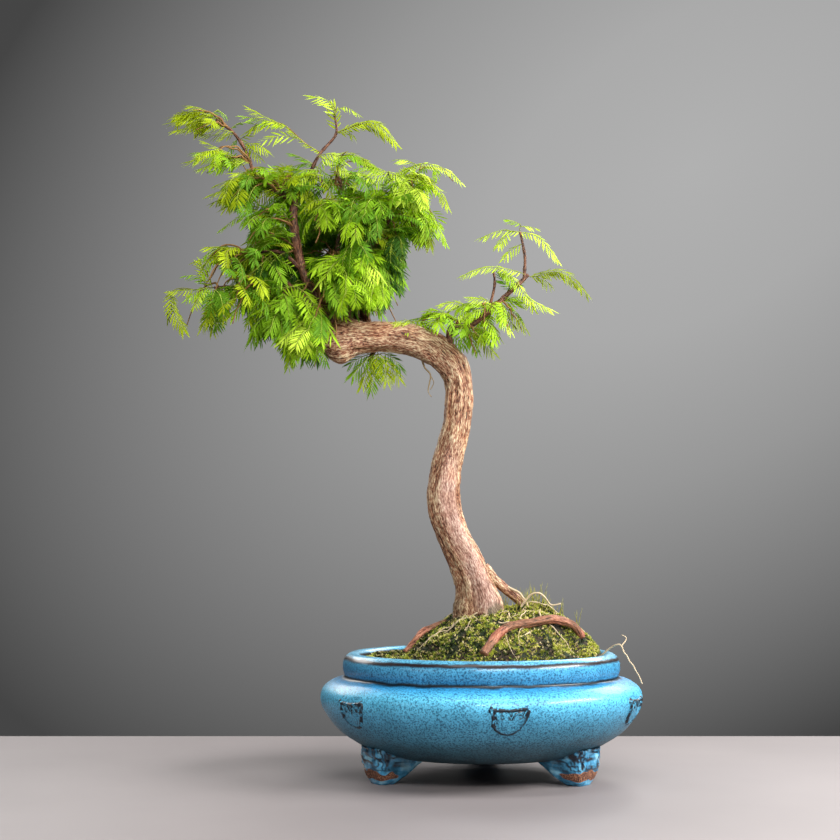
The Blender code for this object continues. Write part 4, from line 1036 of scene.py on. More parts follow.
def stored(tree, name, output="Fac"):
    """What the mesh stores at its points under that name."""
    return node(tree, "ShaderNodeAttribute", {"attribute_name": name}).outputs[output]


def lumpy(tree, place, size, detail, roughness=0.5):
    """Noise from 0 to 1 whose lumps are about that size across."""
    return node(tree, "ShaderNodeTexNoise", values={
        "Scale": 1 / size, "Detail": detail, "Roughness": roughness}, links={"Vector": place}).outputs["Fac"]


def ramp(tree, factor, *stops):
    """Colour that runs through the stops, a place and a colour each, as the factor rises."""
    tones = [(place, linear(tone) if isinstance(tone, str) else tone) for place, tone in stops]
    return node(tree, "ShaderNodeValToRGB", links={"Fac": factor}, stops=tones).outputs["Color"]


def sorted_inputs(given):
    """Plain values and linked sockets of a node, apart."""
    linked = {socket: item for socket, item in given.items() if isinstance(item, bpy.types.NodeSocket)}
    return {socket: item for socket, item in given.items() if socket not in linked}, linked


def blended(tree, factor, first, second, mode=MIX):
    """Mix of a linked colour with a second one that is linked or a hex colour."""
    second = (*linear(second), 1) if isinstance(second, str) else second
    values, links = sorted_inputs({FACTOR: factor, FIRST: first, SECOND: second})
    return node(tree, "ShaderNodeMix", mode, values, links).outputs[MIXED]


def worked_out(tree, operation, *terms):
    """Result of an operation on terms that are linked or plain numbers."""
    values, links = sorted_inputs(dict(enumerate(terms)))
    return node(tree, "ShaderNodeMath", {"operation": operation}, values, links).outputs[0]


def ranged(tree, value, low, high, to_low=0.0, to_high=1.0):
    """Value brought from one range to another and held inside it."""
    return node(tree, "ShaderNodeMapRange", {"clamp": True}, {
        "From Min": low, "From Max": high, "To Min": to_low, "To Max": to_high},
        {"Value": value}).outputs["Result"]


def bumped(tree, height, strength, distance):
    """Surface direction over fine relief, its depth in metres."""
    return node(tree, "ShaderNodeBump", values={"Strength": strength, "Distance": distance},
                links={"Height": height}).outputs["Normal"]


def glaze_material(look):
    """Stoneware under a poured turquoise glaze, fired glossy.

    The glaze is bright on the shoulder and breaks dull, greenish and speckled lower down; the brightness on
    the shoulder is partly painted light and the darkening towards the base partly painted shade. It lies dark
    in the groove under the lip, as pooled glaze and painted shade, and runs thin and brown along the edge of
    the lip.
    """
    material, tree, place = new_tree("turquoise_glazed_stoneware")
    cloud = lumpy(tree, place, 0.022, 4.0)
    speck = lumpy(tree, place, look.speckle * 1.35, 2.0, 0.6)
    dots = node(tree, "ShaderNodeTexVoronoi", values={"Scale": 1 / look.speckle},
                links={"Vector": place}).outputs["Distance"]
    height = node(tree, "ShaderNodeSeparateXYZ", links={"Vector": place}).outputs["Z"]
    wander = worked_out(tree, "MULTIPLY_ADD", cloud, 0.0035, -0.00175)
    share = ranged(tree, worked_out(tree, "ADD", height, wander), 0.020, 0.108)
    # Colour by height: the glaze breaks dull lower down, and the bright shoulder and the dark base are also
    # painted light and painted shade. The near-black band at 0.757 to 0.772 is the groove under the lip:
    # pooled glaze and painted shade.
    body = ramp(tree, share, (0.0, "#243A40"), (0.18, look.glaze_low), (0.46, look.glaze_middle),
                (0.66, look.glaze_top), (0.742, "#3CA2DC"), (0.757, "#0B1A26"), (0.772, "#0B1A26"),
                (0.79, "#449ACC"), (0.90, "#56ACD8"), (1.0, "#6BBBDC"))
    clouds = ramp(tree, cloud, (0.34, "#C9D6D8"), (0.66, "#FFFFFF"))
    veiled = blended(tree, 0.75, body, clouds, MULTIPLY)
    grain = ramp(tree, speck, (0.38, "#4E7484"), (0.50, "#DCE8EC"), (0.60, "#FFFFFF"))
    grained = blended(tree, 0.85, veiled, grain, MULTIPLY)
    spotted = blended(tree, ramp(tree, dots, (0.14, grey(0.42)), (0.28, grey(0.0))), grained, "#1B4256")
    edge = ramp(tree, share, (0.920, grey(0.0)), (0.940, grey(1.0)), (0.958, grey(1.0)), (0.972, grey(0.0)))
    broken = blended(tree, edge, spotted, (*look.edge_brown, 1))
    surface(tree, {"IOR": 1.42, "Coat Weight": 0.10, "Coat Roughness": 0.05}, {
        "Base Color": blended(tree, stored(tree, "line"), broken, "#121B26"),
        "Roughness": ranged(tree, share, 0.0, 1.0, 0.60, 0.30),
        "Normal": bumped(tree, speck, 0.10, 0.0006)})
    return material


def foot_material(look):
    """Stoneware foot, dipped in the same glaze down to a wiped sole.

    The glaze lies dark along the lines of the modelling, and the clay below it fires to a rough red brown.
    """
    material, tree, place = new_tree("dipped_stoneware")
    cloud = lumpy(tree, place, 0.009, 5.0)
    grit = lumpy(tree, place, 0.0012, 3.0)
    glaze = ramp(tree, cloud, (0.35, "#1F5672"), (0.52, "#4A9CC8"), (0.64, "#8CC8E0"))
    broken = blended(tree, stored(tree, "line"), glaze, "#101A26")
    clay = ramp(tree, grit, (0.34, "#33201A"), (0.50, look.clay), (0.66, "#B07C5C"))
    wander = worked_out(tree, "MULTIPLY_ADD", cloud, 0.7, -0.35)
    bare = ranged(tree, worked_out(tree, "ADD", stored(tree, "bare"), wander), 0.46, 0.54)
    surface(tree, {"IOR": 1.5}, {
        "Base Color": blended(tree, bare, broken, clay),
        "Roughness": ranged(tree, bare, 0.0, 1.0, 0.16, 0.85),
        "Normal": bumped(tree, grit, 0.35, 0.0005)})
    return material


def bark_material(name, gap, body, strand, look, algae=0.0):
    """Fibrous conifer bark that peels in short strands.

    The raised strands weather to cream, what lies between them stays red brown, and the gaps are dark, partly
    painted shade.
    Where the outer bark has rubbed off, the surface is calmer and pink.
    """
    material, tree, place = new_tree(name)
    grain = stored(tree, "grain", "Vector")
    wide = look.strand / MM

    def grained(width, length, detail):
        spot = node(tree, "ShaderNodeMapping", values={"Scale": (1 / width, 1 / width, 1 / length)},
                    links={"Vector": grain}).outputs["Vector"]
        return lumpy(tree, spot, 1.0, detail, 0.6)

    fleck = grained(0.55 * wide, 2.2 * wide, 3.0)
    strip = grained(3.0 * wide, 12 * wide, 2.0)
    patch = lumpy(tree, place, 0.026, 2.0)
    # The colour also follows the height of the relief, darker in the gaps: partly painted shade.
    raised = worked_out(tree, "MULTIPLY", stored(tree, "ridge"), 0.65)
    flecks = worked_out(tree, "MULTIPLY_ADD", fleck, 3.6, raised)
    tone = ranged(tree, worked_out(tree, "MULTIPLY_ADD", strip, 0.5, flecks), 1.62, 3.15)
    half = tuple(0.55 * a + 0.45 * b for a, b in zip(body, strand))
    outer = ramp(tree, tone, (0.12, gap), (0.38, body), (0.66, half), (0.92, strand))
    inner = ramp(tree, tone, (0.02, tuple(0.5 * c for c in body)), (0.24, "#846052"), (0.55, "#A98A7E"),
                 (0.90, "#C9B4A6"))
    colour = blended(tree, stored(tree, "calm"), outer, inner)
    blush = ramp(tree, patch, (0.36, "#D2B3A2"), (0.50, "#FFFFFF"), (0.66, "#FFE0D0"))
    colour = blended(tree, 0.7, colour, blush, MULTIPLY)
    if algae:
        height = node(tree, "ShaderNodeSeparateXYZ", links={"Vector": place}).outputs["Z"]
        low = ranged(tree, height, ALGAE_TOP, ALGAE_FULL, 0.0, algae)
        green = worked_out(tree, "MULTIPLY", low, ranged(tree, patch, 0.48, 0.58))
        colour = blended(tree, green, colour, "#26331A")
    surface(tree, {"Roughness": 0.62, "IOR": 1.45}, {
        "Base Color": colour, "Normal": bumped(tree, fleck, 0.7, 0.0007)})
    return material


def leaf_material(name, colour, size, glow):
    """Thin living leaf: soft sheen on top, and light that comes through it warmer than it went in."""
    material, tree, place = new_tree(name)
    shade = tuple(c * 0.66 for c in colour)
    light = tuple(min(1.0, c * 1.18 + 0.01) for c in colour)
    tone = ramp(tree, lumpy(tree, place, size, 2.0), (0.36, shade), (0.50, colour), (0.64, light))
    shader = node(tree, "ShaderNodeBsdfPrincipled", values={"Roughness": 0.62, "IOR": 1.28},
                  links={"Base Color": tone})
    through = tuple(min(1.0, c * gain) for c, gain in zip(colour, (1.25, 1.15, 0.6)))
    back = node(tree, "ShaderNodeBsdfTranslucent", values={"Color": (*through, 1)})
    both = node(tree, "ShaderNodeMixShader", values={0: glow}, links={
        1: shader.outputs[0], 2: back.outputs[0]})
    node(tree, "ShaderNodeOutputMaterial", links={"Surface": both.outputs[0]})
    return material


def soil_material(look):
    """Damp potting grit under moss: dark, crumbly and matt, with paler grains."""
    material, tree, place = new_tree("damp_mossy_soil")
    crumb = lumpy(tree, place, 0.0022, 6.0, 0.7)
    earth = ramp(tree, crumb, (0.34, "#120D08"), (0.52, "#241C10"), (0.64, "#5E4A30"), (0.72, "#C8B488"))
    # Green patches take the darkest moss colour, which is painted shade.
    green = ranged(tree, lumpy(tree, place, 0.014, 3.0), 0.44, 0.58)
    surface(tree, {"Roughness": 0.92}, {
        "Base Color": blended(tree, green, earth, (*look.moss_dark, 1)),
        "Normal": bumped(tree, crumb, 0.9, 0.0012)})
    return material


def plain_material(name, colour, roughness, size):
    """Even surface with a slight mottle, for the floor, young twigs and fine dead roots."""
    material, tree, place = new_tree(name)
    tone = ramp(tree, lumpy(tree, place, size, 3.0), (0.3, tuple(c * 0.86 for c in colour)), (0.7, colour))
    surface(tree, {"Roughness": roughness}, {"Base Color": tone})
    return material


# What a user would change

class BonsaiPotLook(bpy.types.PropertyGroup):
    """Glaze and clay of the pot."""
    # The shoulder colour is partly painted light, and the colour below partly painted shade.
    glaze_top: FloatVectorProperty(name="Glaze On The Shoulder", description="Where the glaze pools",
                                   subtype="COLOR", default=linear("#6CD0F6"))
    glaze_middle: FloatVectorProperty(name="Glaze On The Belly", description="Middle of the belly",
                                      subtype="COLOR", default=linear("#5AB4DC"))
    glaze_low: FloatVectorProperty(name="Glaze Below", description="Where the glaze breaks dull",
                                   subtype="COLOR", default=linear("#43788C"))
    edge_brown: FloatVectorProperty(name="Broken Edge", description="Iron brown where the glaze runs thin",
                                    subtype="COLOR", default=linear("#241A1C"))
    clay: FloatVectorProperty(name="Bare Clay", description="Wiped clay of the soles",
                              subtype="COLOR", default=linear("#6E4534"))
    speckle: FloatProperty(name="Speckle", description="Distance between dark specks in the glaze",
                           default=0.0011, unit="LENGTH")


class BonsaiBarkLook(bpy.types.PropertyGroup):
    """Bark of the trunk, boughs and roots."""
    strand: FloatProperty(name="Strand Width", description="Width of one strand of bark",
                          default=0.0016, unit="LENGTH")
    relief: FloatProperty(name="Relief", description="How far strands stand above the gaps",
                          default=0.0018, unit="LENGTH")
    gap: FloatVectorProperty(name="Gaps", description="Shadowed inner bark", subtype="COLOR",
                             default=linear("#26150D"))
    body: FloatVectorProperty(name="Inner Bark", description="Red-brown bark", subtype="COLOR",
                              default=linear("#8A5338"))
    pale: FloatVectorProperty(name="Strands", description="Weathered strands", subtype="COLOR",
                              default=linear("#DECAA6"))


class BonsaiNeedleLook(bpy.types.PropertyGroup):
    """Needles, stalks, and the seed of the branching rule."""
    width: FloatProperty(name="Needle Width", description="Needle at its widest",
                         default=0.00135, unit="LENGTH")
    stalk: FloatProperty(name="Stalk Radius", description="Radius at the foot of a spray",
                         default=0.0005, unit="LENGTH")
    glow: FloatProperty(name="Light Through", description="Share of the light that passes a needle",
                        default=0.30, min=0.0, max=1.0, subtype="FACTOR")
    seed: IntProperty(name="Seed", description="Starts the branching rule", default=5)


class BonsaiMossLook(bpy.types.PropertyGroup):
    """Moss on the soil."""
    shoot: FloatProperty(name="Shoot Length", description="Length of one leaf of moss",
                         default=0.0026, unit="LENGTH")
    shoots: IntProperty(name="Shoots", description="How many shoots of moss", default=15500)
    # The Moss Tips colour is paler tips and painted sunlight; the Old Moss colour is painted shade.
    moss_light: FloatVectorProperty(name="Moss Tips", description="Sunlit moss", subtype="COLOR",
                                    default=linear("#BCC254"))
    moss_middle: FloatVectorProperty(name="Moss", description="Most of the moss", subtype="COLOR",
                                     default=linear("#6C8434"))
    moss_dark: FloatVectorProperty(name="Old Moss", description="Shaded moss", subtype="COLOR",
                                   default=linear("#1C280F"))
    moss_straw: FloatVectorProperty(name="Dry Moss", description="Dead straw between the moss",
                                    subtype="COLOR", default=linear("#E6D6A4"))
    root_pale: FloatVectorProperty(name="Fine Roots", description="Dry fine roots over the moss",
                                   subtype="COLOR", default=linear("#C9B596"))


class BonsaiStageLook(bpy.types.PropertyGroup):
    """Floor, backdrop and light."""
    floor: FloatVectorProperty(name="Floor", description="Pale plain floor", subtype="COLOR",
                               default=linear("#837C7D"))
    key: FloatProperty(name="Key Light", description="Power of the main soft light in watts",
                       default=45.0)


# Operators

class BONSAI_OT_pot(bpy.types.Operator):
    """Glazed bowl with its relief crests"""
    bl_idname = "bonsai.pot"
    bl_label = "Pot"

    def execute(self, context):
        glaze = glaze_material(context.scene.bonsai_pot)
        profile = smooth_course([(radius, 0.0, height) for radius, height in POT_OUTSIDE], POT_PROFILE_STEP)
        profile[:, 0] = np.maximum(profile[:, 0], 0.0)
        angle = np.linspace(0, 2 * math.pi, POT_SEGMENTS, endpoint=False)
        radius, height = profile[1:, 0][:, None], profile[1:, 2][:, None]
        ring = np.stack([radius * np.cos(angle), radius * np.sin(angle), height + 0 * angle], -1)
        rows = len(profile) - 1
        verts = np.concatenate([ring.reshape(-1, 3), [[0.0, 0.0, profile[0, 2]]]])
        middle = np.full(POT_SEGMENTS, rows * POT_SEGMENTS)
        side = np.arange(POT_SEGMENTS)
        under = np.stack([(side + 1) % POT_SEGMENTS, side, middle], -1)
        lump = (noise(verts, 24.0, 3) - 0.5) * 0.9
        outward = unit(verts * np.array([1.0, 1.0, 0.0]))
        verts = verts + outward * lump[:, None]
        bowl = mesh_piece("glazed_bowl", verts, [grid_faces(rows, POT_SEGMENTS), under], [glaze],
                          {"line": np.zeros(len(verts))})
        hand_over(bowl, "glaze", "pot")
        crests = [self.crest(profile, CREST_FIRST_ANGLE + index * 360 / CREST_COUNT)
                  for index in range(CREST_COUNT)]
        points, faces = gather([(verts, faces) for verts, faces, _ in crests])
        lines = np.concatenate([line for _, _, line in crests])
        hand_over(mesh_piece("crests", points, faces, [glaze], {"line": lines}), "glaze")
        return {"FINISHED"}

    def crest(self, profile, angle):
        """Relief shield: a raised half round with eared corners, a rim, a dipped stroke and two dots."""
        outside = profile[profile[:, 2] < 84]
        outside = outside[np.argsort(outside[:, 2], kind="stable")]
        across, up = np.meshgrid(np.linspace(-0.60, 0.60, CREST_GRID), np.linspace(-0.60, 0.60, CREST_GRID))
        size = np.array([CREST_WIDTH, CREST_DEPTH])
        spots = np.stack([across, up], -1) * size
        outline = np.array(CREST_OUTLINE) * size
        edge = away_from(spots, np.concatenate([outline, outline[:1]]))
        inside = np.where(within(CREST_OUTLINE, across, up), edge, -edge)
        stroke = np.minimum.reduce([away_from(spots, np.array(line) * size) for line in CREST_STROKES])
        height = CREST_HEIGHT + up * CREST_DEPTH
        lumps = noise(np.stack([spots[..., 0], spots[..., 1], 0 * up + angle], -1), 1.6, 8)
        rise = np.clip(inside / 1.6 + 0.25, 0, 1)
        rim = np.exp(-((inside - 1.4) / 1.0) ** 2)
        stand = -0.5 + 1.3 * rise + 0.9 * rim - 0.8 * np.exp(-(stroke / 1.0) ** 2) * rise
        stand = stand + 0.6 * (lumps - 0.5) * rise
        radius = np.interp(height, outside[:, 2], outside[:, 0])
        turn = math.radians(angle) + across * CREST_WIDTH / radius
        out = radius + stand
        points = np.stack([out * np.sin(turn), -out * np.cos(turn), height], -1).reshape(-1, 3)
        quads = grid_faces(CREST_GRID, CREST_GRID, closed=False)
        quads = quads[(inside.ravel()[quads] > -1.8).any(1)]
        keep = np.unique(quads)
        index = np.zeros(len(points), int)
        index[keep] = np.arange(len(keep))
        ragged = np.clip((lumps - 0.18) * 3.5, 0, 1)
        line = np.exp(-((inside - 0.2) / 2.3) ** 2) + np.exp(-(stroke / 1.9) ** 2)
        line = np.clip(1.6 * line - 0.25, 0, 1) * ragged
        return points[keep], [index[quads]], line.ravel()[keep]


class BONSAI_OT_feet(bpy.types.Operator):
    """Three modelled feet, glazed above and bare at the sole"""
    bl_idname = "bonsai.feet"
    bl_label = "Feet"

    def execute(self, context):
        material = foot_material(context.scene.bonsai_pot)
        for name, angle in FOOT_ANGLES.items():
            hand_over(self.foot(name, math.radians(angle), material), "fired_clay", name)
        return {"FINISHED"}

    def foot(self, name, angle, material):
        rows, around = 40, 72
        share = np.linspace(0, 1, rows)[:, None]
        height = share * FOOT_TOP
        outer_r, outer_z = zip(*FOOT_OUTER)
        inner_r, inner_z = zip(*FOOT_INNER)
        far = np.interp(height, outer_z, outer_r)
        near = np.interp(height, inner_z, inner_r)
        flare = 1 - (1 - share) ** 4
        half = FOOT_HALF_WIDTH_SOLE + (FOOT_HALF_WIDTH_TOP - FOOT_HALF_WIDTH_SOLE) * flare
        turn = np.linspace(0, 2 * math.pi, around, endpoint=False)[None, :]
        square = 0.42
        wide = np.sign(np.cos(turn)) * np.abs(np.cos(turn)) ** square
        deep = np.sign(np.sin(turn)) * np.abs(np.sin(turn)) ** square
        middle, reach = (far + near) / 2, (far - near) / 2
        x = half * wide
        y = -(middle + reach * deep)
        z = height + 0 * turn
        spots = np.stack([x, y, z + 97 * angle], -1)
        carve = noise(spots, (5.5, 5.5, 4.2), 21)
        ridge = 1 - np.abs(2 * carve - 1)
        front = np.clip(deep * 2.0, 0, 1) * np.clip((z - 9) / 5, 0, 1) * np.clip((30 - z) / 5, 0, 1)
        curl = (ridge - 0.45) * 2.6 * front + (noise(spots, 3.0, 22) - 0.5) * 0.7
        x = x + np.cos(turn) * curl * 0.5
        y = y - np.sin(turn) * curl
        z = np.where(share > 0, z, 0.0)
        ragged = 5.0 * (noise(spots, 6.0, 23) - 0.5)
        band = np.clip((15.0 - z + ragged - 3.0 * np.abs(wide)) / 3.0, 0, 1)
        under = np.clip((z - 3.0 + 0.6 * ragged) / 3.0, 0, 1)
        bare = band * under * np.clip(0.75 + deep, 0, 1)
        skin = np.stack([x, y, z], -1).reshape(-1, 3)
        sole = np.array([[0.0, -(middle[0, 0]), 0.0], [0.0, -(middle[-1, 0]), FOOT_TOP]])
        points = np.concatenate([skin, sole])
        turned = points.copy()
        turned[:, 0] = points[:, 0] * math.cos(angle) - points[:, 1] * math.sin(angle)
        turned[:, 1] = points[:, 0] * math.sin(angle) + points[:, 1] * math.cos(angle)
        side = np.arange(around)
        after = (side + 1) % around
        caps = [np.stack([after, side, np.full(around, rows * around)], -1),
                np.stack([side + (rows - 1) * around, after + (rows - 1) * around,
                          np.full(around, rows * around + 1)], -1)]
        broken = 1 - np.abs(2 * noise(spots, (2.4, 2.4, 3.4), 24) - 1)
        line = np.clip((broken - 0.66) * 6.0, 0, 1) * np.clip((z - 10) / 4, 0, 1) * np.clip(0.6 + deep, 0, 1)
        attributes = {"line": np.append(line.ravel(), [0, 0]), "bare": np.append(bare.ravel(), [1, 0])}
        return mesh_piece(name + "_finish", turned, [grid_faces(rows, around), *caps], [material], attributes)


def mound_height(x, y):
    """Height of the soil over the points of the pot, dips and clumps of moss included."""
    spots = np.stack([x, y, 0 * x], -1)
    across = np.hypot((x - MOUND_CENTRE[0]) / MOUND_RADII[0], (y - MOUND_CENTRE[1]) / MOUND_RADII[1])
    mound = MOUND_RISE * np.clip(1 - across ** MOUND_POWER, 0, 1)
    knoll_x, knoll_y, knoll_radius, knoll_rise = KNOLL
    away = np.hypot(x - knoll_x, y - knoll_y) / knoll_radius
    knoll = knoll_rise * 0.5 * (1 + np.cos(math.pi * np.clip(away, 0, 1)))
    clumps = 5.0 * (noise(spots, 13.0, 31) - 0.5) + 2.6 * (noise(spots, 5.5, 32) - 0.5)
    edge = np.clip((RIM_RADIUS - np.hypot(x, y)) / 9.0, 0, 1)
    dips = sum(depth * np.exp(-((x - dx) ** 2 + (y - dy) ** 2) / radius ** 2)
               for dx, dy, radius, depth in HOLLOWS)
    return SOIL_RIM_HEIGHT + mound + knoll + clumps * edge - dips - 1.5 * (1 - edge)


class BONSAI_OT_moss(bpy.types.Operator):
    """Soil, shoots of moss, spikes and the fine roots that run over them"""
    bl_idname = "bonsai.moss"
    bl_label = "Moss And Soil"

    def execute(self, context):
        look = context.scene.bonsai_moss
        rng = np.random.default_rng(MOSS_SEED)
        self.soil(look)
        self.shoots(look, rng)
        self.spikes(rng)
        self.fine_roots(look, rng)
        return {"FINISHED"}

    def soil(self, look):
        rings, sides = SOIL_RINGS, SOIL_SIDES
        radius = np.linspace(0, RIM_RADIUS, rings)[1:, None]
        angle = np.linspace(0, 2 * math.pi, sides, endpoint=False)[None, :]
        x, y = radius * np.cos(angle), radius * np.sin(angle)
        z = mound_height(x, y)
        top = np.stack([x, y, z], -1).reshape(-1, 3)
        floor = np.stack([SOIL_FLOOR_SHARE * x[-1], SOIL_FLOOR_SHARE * y[-1],
                          0 * x[-1] + SOIL_FLOOR_HEIGHT], -1)
        peak = float(mound_height(np.zeros(1), np.zeros(1))[0])
        centre = np.array([[0.0, 0.0, peak], [0.0, 0.0, SOIL_FLOOR_HEIGHT]])
        points = np.concatenate([top, floor, centre])
        side = np.arange(sides)
        after = (side + 1) % sides
        last = len(points) - 2
        base = (rings - 1) * sides
        caps = [np.stack([side, after, np.full(sides, last)], -1),
                np.stack([side + base, after + base, np.full(sides, last + 1)], -1)[:, ::-1]]
        quads = grid_faces(rings, sides)[:, ::-1]
        piece = mesh_piece("soil_mound", points, [quads, *caps], [soil_material(look)])
        hand_over(piece, "moss", "soil")

    def shoots(self, look, rng):
        number = look.shoots
        radius = RIM_RADIUS * 0.985 * np.sqrt(rng.random(number))
        angle = rng.random(number) * 2 * math.pi
        x, y = radius * np.cos(angle), radius * np.sin(angle)
        spots = np.stack([x, y, 0 * x], -1)
        cover = noise(spots, 8.0, 33) * 0.6 + noise(spots, 17.0, 34) * 0.4
        keep = (cover > 0.36) | (rng.random(number) < 0.30)
        x, y, cover = x[keep], y[keep], cover[keep]
        z = mound_height(x, y) - 0.4
        # Moss grows lighter towards +x, the side the key light comes from: painted light and shade. The
        # darkest tint is painted shade, and the tips tint is partly painted sunlight.
        tone = cover + 0.44 * (rng.random(len(x)) - 0.5) + 0.0012 * (x + 30)
        dry = rng.random(len(x)) < 0.20
        tints = (
            ("moss_shaded", look.moss_dark, (tone < 0.45) & ~dry),
            ("moss_green", look.moss_middle, (tone >= 0.45) & (tone < 0.57) & ~dry),
            ("moss_sunlit_tips", look.moss_light, (tone >= 0.57) & ~dry),
            ("moss_dry", look.moss_straw, dry),
        )
        for name, colour, chosen in tints:
            base = np.stack([x[chosen], y[chosen], z[chosen]], -1)
            points, faces = self.rosettes(base, look.shoot / MM, rng)
            material = leaf_material(name, tuple(colour), 0.004, 0.15)
            hand_over(mesh_piece(name, points, faces, [material], smooth=False), "moss")

    def rosettes(self, base, length, rng):
        """Six pointed leaves round each base, every leaf two triangles."""
        leaves = ROSETTE_LEAVES
        number = len(base)
        turn = rng.random((number, 1)) * 2 * math.pi + np.arange(leaves)[None] * 2 * math.pi / leaves
        turn = turn + rng.uniform(-0.3, 0.3, (number, leaves))
        rise = np.radians(rng.uniform(12, 72, (number, leaves)))
        long = (length * rng.uniform(0.6, 1.25, (number, leaves)))[..., None]
        way = np.stack([np.cos(rise) * np.cos(turn), np.cos(rise) * np.sin(turn), np.sin(rise)], -1)
        flat = np.stack([-np.sin(turn), np.cos(turn), 0 * turn], -1) * 0.42
        root = np.repeat(base[:, None], leaves, 1)
        outline = [root, root + way * long * 0.5 + flat, root + way * long * 0.5 - flat, root + way * long]
        points = np.stack(outline, 2).reshape(-1, 3)
        start = np.arange(number * leaves)[:, None] * 4
        return points, [np.concatenate([start + np.array([[0, 2, 1]]), start + np.array([[1, 2, 3]])])]

    def spikes(self, rng):
        """Thin upright spikes of moss on the knoll behind the trunk's right flank."""
        paths = []
        for _ in range(SPIKE_COUNT):
            x = rng.normal(46, 16)
            y = rng.normal(10, 14)
            z = float(mound_height(np.array([x]), np.array([y]))[0]) - 1
            lean = rng.uniform(-0.28, 0.28, 2)
            tall = rng.uniform(8, 21)
            steps = np.linspace(0, 1, 4)
            paths.append(np.stack([x + lean[0] * tall * steps ** 1.5, y + lean[1] * tall * steps ** 1.5,
                                   z + tall * steps, 0.42 * (1 - 0.75 * steps)], -1))
        points, faces = gather([tube_batch(paths, 3)])
        material = leaf_material("moss_spikes", linear("#A6A545"), 0.006, 0.2)
        hand_over(mesh_piece("moss_spikes", points, faces, [material]), "moss")

    def fine_roots(self, look, rng):
        """Dry roots that wander over the moss from the foot of the trunk, and the loose ones."""
        paths = []
        for _ in range(FINE_ROOT_COUNT):
            angle = rng.uniform(0, 2 * math.pi)
            spot = np.array([rng.uniform(10, 58) * math.cos(angle) + 14,
                             rng.uniform(10, 58) * math.sin(angle)])
            way = angle + rng.uniform(-1.0, 1.0)
            thick = rng.uniform(0.35, 0.8)
            points = []
            for _ in range(rng.integers(9, 20)):
                if math.hypot(*spot) > FINE_ROOT_REACH:
                    break
                points.append([*spot, rng.uniform(0.4, 2.2)])
                way += rng.uniform(-0.55, 0.55)
                spot = spot + FINE_ROOT_STEP * np.array([math.cos(way), math.sin(way)])
            if len(points) < 4:
                continue
            line = smooth_course(points, 1.6)
            line[:, 2] += mound_height(line[:, 0], line[:, 1])
            radius = thick * np.linspace(1, 0.4, len(line))
            paths.append(np.column_stack([line, radius]))
        for course, thick in LOOSE_ROOTS:
            line = smooth_course(course, 1.6)
            wobble = (noise(line, 7.0, 51) - 0.5)[:, None] * np.array([2.0, 2.0, 3.0])
            paths.append(np.column_stack([line + wobble, thick * np.linspace(1, 0.55, len(line))]))
        points, faces = gather([tube_batch(paths, 6)])
        material = plain_material("dry_root", tuple(look.root_pale), 0.8, 0.004)
        hand_over(mesh_piece("fine_roots", points, faces, [material]), "bark")


def trunk_ribs(angle, along):
    """Soft ribs that deepen into the root flare."""
    flare = np.clip(1 - along / 0.16, 0, 1)
    return 1 + (0.05 + 0.11 * flare) * np.cos(3 * angle + 5 * along) + 0.025 * np.cos(7 * angle - 9 * along)


def rubbed(height, outward):
    """How calm and pink the bark is: along the front of the lower trunk, where the outer bark is gone."""
    facing = np.clip((outward[..., 0] * 0.32 - outward[..., 1] * 0.95 - 0.70) / 0.25, 0, 1)
    low = np.clip((300 - height) / 50, 0, 1) * np.clip((height - 136) / 12, 0, 1)
    return 0.85 * facing * low


class BONSAI_OT_wood(bpy.types.Operator):
    """Trunk, boughs and surface roots with raised bark"""
    bl_idname = "bonsai.wood"
    bl_label = "Trunk And Boughs"

    def execute(self, context):
        look = context.scene.bonsai_bark
        strand, relief = look.strand / MM, look.relief / MM
        gap, body, pale = tuple(look.gap), tuple(look.body), tuple(look.pale)
        old_bark = bark_material("weathered_redwood_bark", gap, body, pale, look, algae=0.9)
        courses = limb_courses()
        trunk = barked_tube("trunk_bark", courses["trunk"], TRUNK_SIDES, strand, relief, old_bark, 61,
                            trunk_ribs, TRUNK_SWELLINGS, rubbed)
        hand_over(trunk, "bark", "trunk_lower", "trunk_upper")
        root_bark = bark_material("surface_root_bark", linear("#2A1510"), linear("#8E5340"),
                                  linear("#C98F72"), look, algae=0.5)
        for root in ROOTS:
            course = tapered(root.course, root.thick, root.thin, LIMB_STEP)
            course[:, :3] += (noise(course[:, :3], 12.0, 71)[:, None] - 0.5) * np.array([2.0, 2.0, 3.0])
            bark = old_bark if root.name == "root_buttress" else root_bark
            piece = barked_tube(root.name + "_bark", course, ROOT_SIDES, strand * 0.8, relief * 0.7,
                                bark, 72)
            hand_over(piece, "bark", root.name)
        young_bark = bark_material("young_redwood_bark", linear("#180C08"), linear("#4C2A1C"),
                                   linear("#94694E"), look)
        for index, limb in enumerate(LIMBS):
            course = courses[limb.name].copy()
            along = lengths_along(course[:, :3])
            course[:, 3] *= 1 + 0.22 * np.exp(-((along % KNOT_DISTANCE - KNOT_DISTANCE / 2) / 2.2) ** 2)
            sides = BOUGH_SIDES if limb.thick > 3 else TWIG_SIDES
            piece = barked_tube(limb.name + "_bark", course, sides, strand * 0.45, min(0.8, limb.thick * 0.2),
                                young_bark, 80 + index)
            hand_over(piece, "twig", limb.name)
        self.stubs(young_bark, plain_material("dry_rootlet", linear("#A48E6A"), 0.85, 0.003))
        return {"FINISHED"}

    def stubs(self, bark, dry):
        """Cut stubs on the burl and the leader, and a dead rootlet that hangs in the bend."""
        for index, (name, points, thick, thin) in enumerate(STUBS):
            course = tapered(points, thick, thin, 1.0)
            material = dry if name.startswith("dead") else bark
            piece = barked_tube(name, course, 14, 1.0, 0.35, material, 95 + index)
            hand_over(piece, "twig")


